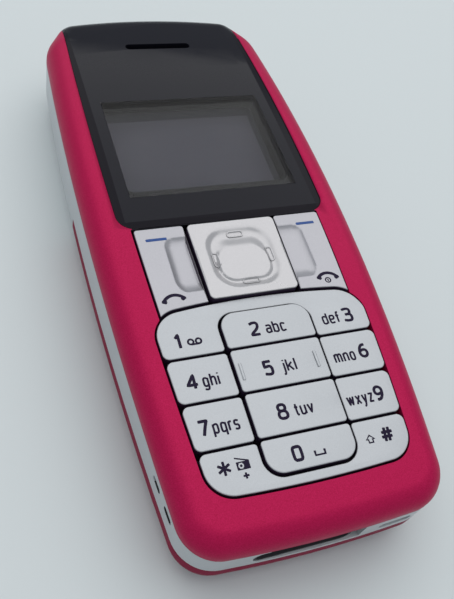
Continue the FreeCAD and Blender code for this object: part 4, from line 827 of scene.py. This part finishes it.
# letter: width over height, lines
LOWER = {
    "a": (1.0, [[(0.08, 0.98), (0.5, 1.04), (0.98, 0.98), (1.0, 0.6), (1.0, 0.0)],
                [(1.0, 0.55), (0.1, 0.6), (-0.02, 0.2), (0.3, -0.04), (1.0, 0.1)]]),
    "b": (1.0, [[(0.0, ROOF), (0.0, 0.0)], BOWL]),
    "c": (0.9, [[(1.0, 0.95), (0.5, 1.04), (0.0, 1.0), (0.0, 0.0), (0.5, -0.04), (1.0, 0.05)]]),
    "d": (1.0, [[(1.0, ROOF), (1.0, 0.0)], OPEN_BOWL]),
    "e": (1.0, [[(0.0, 0.5), (0.0, 0.5), (1.0, 0.5), (1.0, 1.0), (0.5, 1.04), (0.0, 1.0), (0.0, 0.0),
                 (0.5, -0.04), (0.95, 0.03)]]),
    "f": (0.55, [[(1.0, ROOF), (0.35, ROOF), (0.35, 0.9), (0.35, 0.0)], [(-0.15, 0.92), (0.95, 0.92)]]),
    "g": (1.0, [OPEN_BOWL, [(1.0, 1.0), (1.0, 1.0), (1.0, LEG), (0.5, LEG - 0.04), (0.05, LEG + 0.03)]]),
    "h": (1.0, [[(0.0, ROOF), (0.0, 0.0)], HUMP]),
    "i": (0.0, [[(0.0, 1.0), (0.0, 0.0)], [(0.0, 1.36), (0.0, 1.42)]]),
    "j": (0.3, [[(1.0, 1.0), (1.0, LEG), (0.0, LEG)], [(1.0, 1.36), (1.0, 1.42)]]),
    "k": (0.9, [[(0.0, ROOF), (0.0, 0.0)], [(0.9, 1.0), (0.12, 0.5)], [(0.35, 0.62), (1.0, 0.0)]]),
    "l": (0.0, [[(0.0, ROOF), (0.0, 0.0)]]),
    "m": (1.6, [[(0.0, 1.0), (0.0, 0.0)], [(x * 0.5, y) for x, y in HUMP],
                [(0.5 + x * 0.5, y) for x, y in HUMP]]),
    "n": (1.0, [[(0.0, 1.0), (0.0, 0.0)], HUMP]),
    "o": (1.0, [BOWL]),
    "p": (1.0, [[(0.0, 1.0), (0.0, LEG)], BOWL]),
    "q": (1.0, [[(1.0, 1.0), (1.0, LEG)], OPEN_BOWL]),
    "r": (0.55, [[(0.0, 1.0), (0.0, 0.0)], [(0.0, 0.7), (0.25, 1.02), (1.0, 1.0)]]),
    "s": (0.85, [[(0.95, 0.97), (0.5, 1.04), (0.0, 1.0), (0.0, 0.5), (1.0, 0.5), (1.0, 0.0),
                  (0.5, -0.04), (0.02, 0.03)]]),
    "t": (0.55, [[(0.35, 1.3), (0.35, 0.0), (1.0, 0.0)], [(-0.15, 0.95), (0.95, 0.95)]]),
    "u": (1.0, [[(1.0 - x, 1.0 - y) for x, y in HUMP], [(1.0, 1.0), (1.0, 0.0)]]),
    "v": (1.0, [[(0.0, 1.0), (0.5, 0.0), (0.5, 0.0), (1.0, 1.0)]]),
    "w": (1.6, [[(0.0, 1.0), (0.25, 0.0), (0.25, 0.0), (0.5, 0.95), (0.5, 0.95), (0.75, 0.0),
                 (0.75, 0.0), (1.0, 1.0)]]),
    "x": (1.0, [[(0.0, 1.0), (1.0, 0.0)], [(0.0, 0.0), (1.0, 1.0)]]),
    "y": (1.0, [[(0.0, 1.0), (0.5, 0.05)], [(1.0, 1.0), (0.35, LEG), (0.05, LEG)]]),
    "z": (0.95, [[(0.0, 1.0), (1.0, 1.0), (1.0, 1.0), (0.0, 0.0), (0.0, 0.0), (1.0, 0.0)]]),
}
ROUND_LETTERS = {"o"}
# How narrow letters are, the space between them, and how much larger the digits' lines are drawn
NARROWNESS, LETTER_GAP = 0.70, 0.16 * MM
DIGIT_SPREAD, DIGIT_RISE = 1.05, 1.13

# key, digit, middle x, middle y, width, height
DIGITS = [
    ("key_1_3", "1", -13.60, -22.92, 0.9, 2.2), ("key_2", "2", -2.20, -23.05, 1.50, 2.1),
    ("key_1_3", "3", 13.12, -22.90, 1.60, 2.15), ("key_4", "4", -13.39, -29.32, 1.65, 2.1),
    ("key_5", "5", -2.19, -29.41, 1.50, 2.1), ("key_6", "6", 13.27, -29.15, 1.55, 2.1),
    ("key_7", "7", -13.50, -36.08, 1.50, 2.1), ("key_8", "8", -2.24, -36.09, 1.55, 2.1),
    ("key_9", "9", 13.04, -36.03, 1.55, 2.1), ("key_0", "0", -2.09, -42.16, 1.50, 1.95),
    ("key_star_hash", "#", 11.77, -42.08, 1.85, 2.0),
]
# key, letters, middle x, base line y, width
LETTERS = [
    ("key_2", "abc", 1.05, -24.15, 3.25), ("key_1_3", "def", 10.3, -24.0, 3.0),
    ("key_4", "ghi", -10.64, -30.42, 2.5), ("key_5", "jkl", 0.98, -30.47, 2.3),
    ("key_6", "mno", 10.08, -30.42, 3.5), ("key_7", "pqrs", -10.45, -37.17, 3.85),
    ("key_8", "tuv", 0.98, -37.12, 2.9), ("key_9", "wxyz", 9.9, -37.17, 4.25),
]


def draw_digit(text, wide, tall):
    """One digit, centred, of a given outer width and height."""
    width = sizes().digit_stroke
    run, rise = wide * DIGIT_SPREAD * MM - width, tall * DIGIT_RISE * MM - width
    bm = bmesh.new()
    for lines, closed in ((GLYPHS.get(text, []), False), (ROUNDS.get(text, []), True)):
        for path in lines:
            stroke(bm, [((x - 0.5) * run, (y - 0.5) * rise) for x, y in path], width, closed)
    return bm


def draw_letters(text, wide):
    """A run of small letters, centred, on its base line, of a given outer width."""
    measure = sizes()
    width = measure.letter_stroke
    tall = measure.small_height
    gap = width + LETTER_GAP
    runs = [LOWER[letter][0] * tall * NARROWNESS for letter in text]
    spare = wide * MM - width - gap * (len(text) - 1)
    squeeze = spare / sum(runs)
    x = -(wide * MM - width) / 2
    bm = bmesh.new()
    for letter, run in zip(text, runs):
        for path in LOWER[letter][1]:
            across = run * squeeze if run else 1.0
            points = [(x + px * across, width / 2 + py * (tall - width / 2)) for px, py in path]
            stroke(bm, points, width, letter in ROUND_LETTERS)
        x += run * squeeze + gap
    return bm


def draw_lines(lines, width):
    """A mark made of lines in millimetres, each given as points, closed and smooth."""
    bm = bmesh.new()
    for points, closed, smooth in lines:
        stroke(bm, [(x * MM, y * MM) for x, y in points], width, closed, smooth)
    return bm


def line(*points):
    """An open line of a sign, with sharp corners."""
    return list(points), False, False


def ring(points):
    """A closed line of a sign, with sharp corners."""
    return points, True, False


def spokes(reach, count, first):
    """Straight lines through the origin, evenly turned."""
    turns = [math.radians(first + 180.0 * n / count) for n in range(count)]
    ends = [(reach * math.cos(a), reach * math.sin(a)) for a in turns]
    return [line((-x, -y), (x, y)) for x, y in ends]


def radio_case():
    """A filled box of level lines with a round hole, and the dot of its dial in the hole."""
    half_width, half_height, hole_x, hole, rows = 0.88, 0.47, -0.3, 0.42, 7
    lines = [ring(arc(hole_x, 0.0, 0.1, 0, 324, 9))]
    for n in range(rows):
        y = half_height * (2.0 * n / (rows - 1) - 1.0)
        chord = math.sqrt(max(hole * hole - y * y, 0.0))
        for start, end in ((-half_width, hole_x - chord), (hole_x + chord, half_width)):
            if end > start:
                lines.append(line((start, y), (end, y)))
    return lines


def sign_lines():
    """The lines of each sign on the keys, in millimetres round the sign's own middle."""
    house = [(0, 0.55), (0.62, -0.02), (0.32, -0.02), (0.32, -0.5), (-0.32, -0.5), (-0.32, -0.02),
             (-0.62, -0.02)]
    reels = [ring(arc(x, 0.12, 0.40, 0, 340, 17)) for x in (-0.58, 0.58)]
    return {
        "voicemail": [*reels, line((-0.58, -0.30), (0.58, -0.30))],
        "space": [line((-0.72, 0.3), (-0.72, -0.3), (0.72, -0.3), (0.72, 0.3))],
        "shift": [ring(house)],
        "star": spokes(0.88, 3, 30.0),
        "radio": radio_case(),
        "aerial": [line((-0.95, 1.06), (0.86, 0.46))],
        "plus": spokes(0.36, 2, 0.0),
        "power": [ring(arc(0, 0, 0.42, 0, 340, 17)), line((0, -0.15), (0, 0.15))],
        "left_bar": [line((-1.55, 0), (1.55, 0))],
        "right_bar": [line((-1.5, 0), (1.5, 0))],
    }


# sign, key, middle x, middle y, width of its lines as a share of the marks' lines
SIGNS = [
    ("voicemail", "key_1_3", -11.3, -23.42, 1.0), ("space", "key_0", 1.1, -42.65, 1.15),
    ("shift", "key_star_hash", 9.12, -42.29, 0.95), ("star", "key_star_hash", -12.36, -41.93, 1.25),
    ("radio", "key_star_hash", -9.71, -42.02, 0.6), ("aerial", "key_star_hash", -9.71, -41.95, 0.65),
    ("plus", "key_star_hash", -9.69, -43.40, 0.95), ("power", "right_function_key", 12.43, -16.42, 0.7),
]
SOFT_KEY_BARS = [
    ("left_bar", "left_function_key", -12.4, -5.15, 1.7),
    ("right_bar", "right_function_key", 12.62, -5.08, 1.7),
]
# handset, key, middle x, middle y, lean in degrees
HANDSETS = [
    ("call", "left_function_key", -12.35, -15.75, 5.0), ("end", "right_function_key", 12.5, -15.5, -4.0),
]
# A handset's grip is an arc; its ears are short lines at the grip's ends
GRIP_DROP, GRIP_RADIUS, GRIP_START, GRIP_END = 1.55, 1.95, 142.0, 38.0
EAR_DROP, EAR_NECK = 0.22, 0.12
GRIP_WIDTH, EAR_WIDTH = 1.75, 2.7


def add_signs(rows, ink):
    """Prints the signs of a table."""
    lines = sign_lines()
    for label, key, x, y, share in rows:
        bm = draw_lines(lines[label], sizes().mark_stroke * share)
        print_on(bm, f"print_{label}", x * MM, y * MM, key, ink)


def add_handsets(ink):
    """Prints the two telephone handsets: a curved grip with thick ends."""
    width = sizes().mark_stroke
    for label, key, x, y, lean in HANDSETS:
        grip = arc(0.0, -GRIP_DROP, GRIP_RADIUS, GRIP_START + lean, GRIP_END + lean, 10)
        bm = draw_lines([(grip, False, True)], width * GRIP_WIDTH)
        for (ex, ey), (nx, ny) in ((grip[0], grip[1]), (grip[-1], grip[-2])):
            ear = [(ex, ey - EAR_DROP), ((ex + nx) / 2, (ey + ny) / 2 - EAR_NECK)]
            stroke(bm, [(px * MM, py * MM) for px, py in ear], width * EAR_WIDTH)
        print_on(bm, f"print_{label}", x * MM, y * MM, key, ink)


def add_legends():
    """Prints digits, letters and signs on the keys."""
    ink = outer_finish("printed_ink")
    for key, text, x, y, wide, tall in DIGITS:
        label = {"#": "hash"}.get(text, text)
        bm = draw_digit(text, wide, tall)
        print_on(bm, f"print_digit_{label}", x * MM, y * MM, key, ink)
    for key, text, x, y, wide in LETTERS:
        bm = draw_letters(text, wide)
        print_on(bm, f"print_letters_{text}", x * MM, y * MM, key, ink)
    add_signs(SIGNS, ink)
    add_handsets(ink)
    add_signs(SOFT_KEY_BARS, outer_finish("blue_ink"))


# Pieces


NUMBER_KEYS = [
    "key_1_3", "key_2", "key_4", "key_5", "key_6", "key_7", "key_8", "key_9", "key_0", "key_star_hash",
]
# Spacing of the cuts across plain keys and sculpted keys; the arched key's lie closer
KEY_SLICE, SCULPTED_GRID = 0.8 * MM, 0.2 * MM
ARCH_SLICE = KEY_SLICE / 3
# Ridges of the 5: their places, half length in mm, width, and thickness in shares of the ink's
RIDGE_PLACES = {"left": -6.08 * MM, "right": 5.44 * MM}
RIDGE_Y, RIDGE_HALF, RIDGE_WIDTH, RIDGE_RISE = -29.3 * MM, 1.2, 0.42 * MM, 8.0


def add_cap(name, paint_name, spacing, outlines=()):
    """Adds a key with its new cap; gives the finish of its face."""
    finishes = [outer_finish(paint_name), outer_finish("smoky_key_side")]
    piece_from(capped_key(name, spacing, outlines), f"{name}_cap", finishes, name, [name])
    return finishes[0]


def add_keys():
    """Adds the number keys, and the two ridges on the 5."""
    for name in NUMBER_KEYS:
        silver = add_cap(name, "silver_key_paint", (0, ARCH_SLICE if name == "key_1_3" else KEY_SLICE))
    for label, x in RIDGE_PLACES.items():
        bm = draw_lines([line((0, -RIDGE_HALF), (0, RIDGE_HALF))], RIDGE_WIDTH)
        print_on(bm, f"key_5_ridge_{label}", x, RIDGE_Y, "key_5", silver, RIDGE_RISE)


def add_function_keys():
    """Adds the two function keys with their thumb scoops."""
    for name in SCOOP_OUTER:
        add_cap(name, "satin_silver_paint", (SCULPTED_GRID, SCULPTED_GRID), [scoop_rim(name)])


# Raised marks round the navigation pad: middle x and y from the moat's middle, and turn in degrees.
# Each is a pill, drawn in mm, whose line is PILL_LINE wide and PILL_RISE times as thick as the ink
NAV_MARKS = [(-4.45, 0.0, 90.0), (4.45, 0.0, 90.0), (0.0, -4.45, 0.0), (0.0, 4.45, 0.0)]
PILL_HALF, PILL_ROUND, PILL_LINE, PILL_RISE = 0.85, 0.42, 0.26 * MM, 7.0


def add_navigation():
    """Adds the navigation key and its four raised marks."""
    grid, outlines = (SCULPTED_GRID, SCULPTED_GRID), [moat_depth_in, pad_depth_in]
    silver = add_cap("navigation_key", "bright_silver_paint", grid, outlines)
    pill = [*arc(PILL_HALF, 0, PILL_ROUND, -90, 90, 8), *arc(-PILL_HALF, 0, PILL_ROUND, 90, 270, 8)]
    for n, (x, y, turn) in enumerate(NAV_MARKS, start=1):
        cos, sin = math.cos(math.radians(turn)), math.sin(math.radians(turn))
        turned = [(px * cos - py * sin, px * sin + py * cos) for px, py in pill]
        bm = draw_lines([ring(turned)], PILL_LINE)
        place = (MOAT_X + x * MM, MOAT_Y + y * MM)
        print_on(bm, f"navigation_mark_{n}", *place, "navigation_key", silver, PILL_RISE)


# The screen's opening in the front cover: its lower edge goes down by VIEW_DROP
VIEW_X, VIEW_LOW_Y, VIEW_FLOOR = 14.4 * MM, 5.6 * MM, 12.0 * MM
VIEW_DROP, VIEW_BEND, VIEW_MARGIN = 1.85 * MM, 1.6 * MM, 0.1 * MM
# Where the window covers the front cover, and the bridge between the window and the keys, whose dark
# finish paints the shade in the gap there
UNDER_X, UNDER_LOW_Y, UNDER_HIGH_Y, COVER_SKIN = 17.7 * MM, -2.6 * MM, 44.5 * MM, 0.12 * MM
BRIDGE_X, BRIDGE_LOW_Y, BRIDGE_HIGH_Y = 15.6 * MM, -2.8 * MM, -2.4 * MM


def add_front_cover():
    """The front cover, with the screen's opening drawn down to the screen.

    What lies under the window is dark, as the unpainted inside of the cover; the narrow bridge between
    the window and the keys is darkened to paint the shade in the gap.
    """
    bm = joined("front_cover")
    for v in bm.verts:
        near = VIEW_LOW_Y - VIEW_MARGIN < v.co.y < VIEW_LOW_Y + VIEW_BEND
        if near and abs(v.co.x) < VIEW_X and v.co.z > VIEW_FLOOR:
            v.co.y -= VIEW_DROP
    bm.normal_update()
    for face in bm.faces:
        x, y, z = face.calc_center_median()
        under = abs(x) < UNDER_X and UNDER_LOW_Y < y < UNDER_HIGH_Y and z < crown(y) - COVER_SKIN
        # The bridge's dark finish is painted shade
        bridge = abs(x) < BRIDGE_X and BRIDGE_LOW_Y < y < BRIDGE_HIGH_Y
        face.material_index = 1 if under or bridge else 0
    finishes = [front_paint(), outer_finish("window_edge")]
    piece_from(bm, "front_cover_shell", finishes, "casing", ["front_cover"], smooth=30.0)


def add_seal():
    """The seal round the screen's opening, drawn down with it."""
    bm = joined("display_gasket")
    for v in bm.verts:
        if v.co.y < VIEW_LOW_Y + VIEW_BEND:
            v.co.y -= VIEW_DROP
    finishes = [outer_finish("window_edge")]
    piece_from(bm, "screen_seal", finishes, "casing", ["display_gasket"])


# Corners of the box that holds the loudspeaker slots, and the most that a slot's wall looks sideways
SLOTS_LOW, SLOTS_HIGH = Vector((-21.2, -45.3, 10.0)) * MM, Vector((-18.2, -39.2, 11.2)) * MM
WALL_TURN = 0.8


def darken_slots():
    """Paints shade on the walls of the loudspeaker slots in the band, in the black plastic finish."""
    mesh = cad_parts["chassis"].data
    mesh.materials.append(plain_finish("black_plastic"))
    for face in mesh.polygons:
        within = all(low < at < high for low, at, high in zip(SLOTS_LOW, face.center, SLOTS_HIGH))
        # Walls inside the slots get the black finish as painted shade
        if within and abs(face.normal.x) < WALL_TURN:
            face.material_index = 1


def add_shells():
    """Finishes the covers, the seal, the band and the release button."""
    add_front_cover()
    add_seal()
    # The back cover's darker crimson is painted shade along the phone's lower edge
    paint("back_cover", back_paint_with_shade())
    for name in ("chassis", "release_button"):
        paint(name, outer_finish("silver_band_paint"))
    darken_slots()


# The window's clear part, the start of its sloping rim and its lower edge
OPENING_X, OPENING_LOW_Y, OPENING_HIGH_Y = 14.35 * MM, 3.8 * MM, 26.3 * MM
FACET_X, FACET_LOW_Y, WINDOW_LOW_Y = 16.25 * MM, -1.05 * MM, -2.4 * MM
# How far upwards the window's top looks at least, and how near the crown it lies
TOP_TURN, TOP_REACH = 0.5, 0.3 * MM


def add_window():
    """The window: clear over the screen, dark print behind the rest, and a rim that slopes down."""
    measure = sizes()
    bm = joined("display_window")
    cuts = [((side * x, 0, 0), (1, 0, 0)) for side in (-1, 1) for x in (OPENING_X, FACET_X)]
    cuts += [((0, y, 0), (0, 1, 0)) for y in (OPENING_LOW_Y, OPENING_HIGH_Y, FACET_LOW_Y)]
    for place, facing in cuts:
        bmesh.ops.bisect_plane(bm, geom=everything(bm), dist=TOUCH, plane_co=place, plane_no=facing)
    bm.normal_update()
    upper = {v for f in bm.faces if f.normal.z > TOP_TURN for v in f.verts}
    for v in upper:
        if v.co.z <= crown(v.co.y) - TOP_REACH:
            continue
        aside = (abs(v.co.x) - FACET_X) / measure.window_rim
        below = (FACET_LOW_Y - v.co.y) / (FACET_LOW_Y - WINDOW_LOW_Y)
        v.co.z -= measure.window_fall * max(aside, below, 0.0)
    bm.normal_update()
    for face in bm.faces:
        x, y, _ = face.calc_center_median()
        inside = abs(x) < OPENING_X and OPENING_LOW_Y < y < OPENING_HIGH_Y
        on_rim = abs(x) > FACET_X or y < FACET_LOW_Y
        face.material_index = 0 if inside else 2 if on_rim else 1
    finishes = [clear_acrylic(), outer_finish("window_print"), outer_finish("window_edge")]
    piece_from(bm, "window_pane", finishes, "casing", ["display_window"], smooth=4.0)


# Active area of the screen, and how dark the border is against it
SCREEN_Y, SCREEN_HALF_X, SCREEN_HALF_Y = 16.0 * MM, 13.3 * MM, 9.0 * MM
BORDER_SHADE = 0.5


def screen_finish():
    """The screen, whose active area is paler than its border."""
    tone = tuple(colours().screen)
    material, shader = finish("screen_glass", tone, roughness=0.4, specular_ior_level=0.05)
    if shader is None:
        return material
    tree = material.node_tree
    place = tree.nodes.new("ShaderNodeTexCoord")
    parts = tree.nodes.new("ShaderNodeSeparateXYZ")
    tree.links.new(place.outputs["Object"], parts.inputs["Vector"])
    masks = []
    for axis, middle, half in (("X", 0.0, SCREEN_HALF_X), ("Y", SCREEN_Y, SCREEN_HALF_Y)):
        offset = math_node(tree, "SUBTRACT", parts.outputs[axis], middle)
        masks.append(math_node(tree, "LESS_THAN", math_node(tree, "ABSOLUTE", offset), half))
    both = math_node(tree, "MULTIPLY", *masks)
    border = shade(tone, BORDER_SHADE)
    tree.links.new(blend_colour(material, both, border, tone), shader.inputs["Base Color"])
    return material


# finish: nodes
INNER_PARTS = {
    "dark_rubber": ["keymat", "navigation_plunger", "microphone_boot"],
    "black_plastic": [
        "earpiece", "earpiece_mesh", "board_chips", "port_insert", "headset_jack", "loudspeaker",
        "loudspeaker_mesh", "antenna_carrier",
    ],
    "grey_plastic": ["display_frame"],
    "frosted_plastic": ["display_backlight", "navigation_actuator", "dome_sheet", "key_lights"],
    "green_solder_mask": ["main_board"],
    "bright_steel": [
        "board_shields", "backup_battery", "vibration_motor", "vibration_weight", "chassis_screws",
        "charger_jack", "microphone", "sim_holder", "strap_bar", "release_spring",
    ],
    "gold_plate": ["display_flex", "battery_connector", "antenna_element"],
    "battery_film": ["battery"],
    "card_plastic": ["sim_card"],
    "black_foam": ["window_adhesive", "earpiece_gasket"],
}


def add_inner_parts():
    """Finishes the screen and what lies inside the casing."""
    for name, nodes in INNER_PARTS.items():
        for node in nodes:
            paint(node, plain_finish(name))
    paint("display_module", screen_finish())


# Stage


def add_stage():
    """Adds the floor, the camera, the even light of the room and the broad light over the phone."""
    stage = bpy.context.scene.phone_stage
    bm = bmesh.new()
    bmesh.ops.create_grid(bm, x_segments=1, y_segments=1, size=stage.floor_reach)
    mesh = bpy.data.meshes.new("floor")
    bm.to_mesh(mesh)
    bm.free()
    mesh.materials.append(finish("pale_floor", tuple(stage.floor_colour), roughness=0.6)[0])
    floor = add_object("floor", mesh)
    floor.location.z = cad_low.z
    camera = bpy.data.cameras.new("camera")
    camera.lens = stage.camera_lens
    camera.sensor_width = stage.camera_sensor
    camera.clip_start = stage.camera_near
    holder = add_object("camera", camera)
    holder.location = stage.camera_place
    holder.rotation_euler = stage.camera_turn
    bpy.context.scene.camera = holder
    world = bpy.data.worlds.new("room")
    bpy.context.scene.world = world
    world.use_nodes = True
    back = world.node_tree.nodes["Background"]
    back.inputs["Color"].default_value = tuple(stage.room_colour)
    back.inputs["Strength"].default_value = stage.room_light
    light = bpy.data.lights.new("ceiling_light", "AREA")
    light.size = stage.light_width
    light.energy = stage.light_power
    light.color = stage.light_colour[:3]
    lamp = add_object("ceiling_light", light)
    lamp.location = stage.light_place
    lamp.rotation_euler = Vector(stage.light_place).to_track_quat("Z", "Y").to_euler()
    bpy.context.scene.view_settings.view_transform = "Standard"


# Operators, one for each piece or group of like pieces


class PHONE_OT_add_shells(Operator):
    """Finishes the covers, the band and the release button"""

    bl_idname = "phone.add_shells"
    bl_label = "Add shells"
    bl_options = {"UNDO"}

    def execute(self, context):
        add_shells()
        return {"FINISHED"}


class PHONE_OT_add_window(Operator):
    """Adds the window with its print and sloping rim"""

    bl_idname = "phone.add_window"
    bl_label = "Add window"
    bl_options = {"UNDO"}

    def execute(self, context):
        add_window()
        return {"FINISHED"}


class PHONE_OT_add_keys(Operator):
    """Adds the number keys"""

    bl_idname = "phone.add_keys"
    bl_label = "Add number keys"
    bl_options = {"UNDO"}

    def execute(self, context):
        add_keys()
        return {"FINISHED"}


class PHONE_OT_add_function_keys(Operator):
    """Adds the two function keys with their thumb scoops"""

    bl_idname = "phone.add_function_keys"
    bl_label = "Add function keys"
    bl_options = {"UNDO"}

    def execute(self, context):
        add_function_keys()
        return {"FINISHED"}


class PHONE_OT_add_navigation(Operator):
    """Adds the navigation key with its moat, pad and marks"""

    bl_idname = "phone.add_navigation"
    bl_label = "Add navigation key"
    bl_options = {"UNDO"}

    def execute(self, context):
        add_navigation()
        return {"FINISHED"}


class PHONE_OT_add_legends(Operator):
    """Prints digits, letters and marks on the keys"""

    bl_idname = "phone.add_legends"
    bl_label = "Add legends"
    bl_options = {"UNDO"}

    def execute(self, context):
        add_legends()
        return {"FINISHED"}


class PHONE_OT_add_inner_parts(Operator):
    """Finishes the screen and the parts inside the casing"""

    bl_idname = "phone.add_inner_parts"
    bl_label = "Finish inner parts"
    bl_options = {"UNDO"}

    def execute(self, context):
        add_inner_parts()
        return {"FINISHED"}


class PHONE_OT_add_stage(Operator):
    """Adds the floor, the camera and the lights"""

    bl_idname = "phone.add_stage"
    bl_label = "Add stage"
    bl_options = {"UNDO"}

    def execute(self, context):
        add_stage()
        return {"FINISHED"}


OPERATORS = [
    PHONE_OT_add_shells, PHONE_OT_add_window, PHONE_OT_add_keys, PHONE_OT_add_function_keys,
    PHONE_OT_add_navigation, PHONE_OT_add_legends, PHONE_OT_add_inner_parts, PHONE_OT_add_stage,
]


class PHONE_PT_pieces(Panel):
    """Lists the operators in the sidebar."""

    bl_label = "Phone"
    bl_idname = "PHONE_PT_pieces"
    bl_space_type = "VIEW_3D"
    bl_region_type = "UI"
    bl_category = "Phone"

    def draw(self, context):
        for operator in OPERATORS:
            self.layout.operator(operator.bl_idname)


CLASSES = [PhoneSizes, PhoneColours, PhoneStage, *OPERATORS, PHONE_PT_pieces]


def register():
    """Adds the classes and the scene's settings."""
    for cls in CLASSES:
        bpy.utils.register_class(cls)
    bpy.types.Scene.phone_sizes = PointerProperty(type=PhoneSizes)
    bpy.types.Scene.phone_colours = PointerProperty(type=PhoneColours)
    bpy.types.Scene.phone_stage = PointerProperty(type=PhoneStage)


def unregister():
    """Takes them away again."""
    del bpy.types.Scene.phone_stage
    del bpy.types.Scene.phone_colours
    del bpy.types.Scene.phone_sizes
    for cls in reversed(CLASSES):
        bpy.utils.unregister_class(cls)


def main():
    """Builds the phone by its operators."""
    register()
    for operator in OPERATORS:
        getattr(bpy.ops.phone, operator.bl_idname.split(".")[1])()


if __name__ == "__main__":
    main()
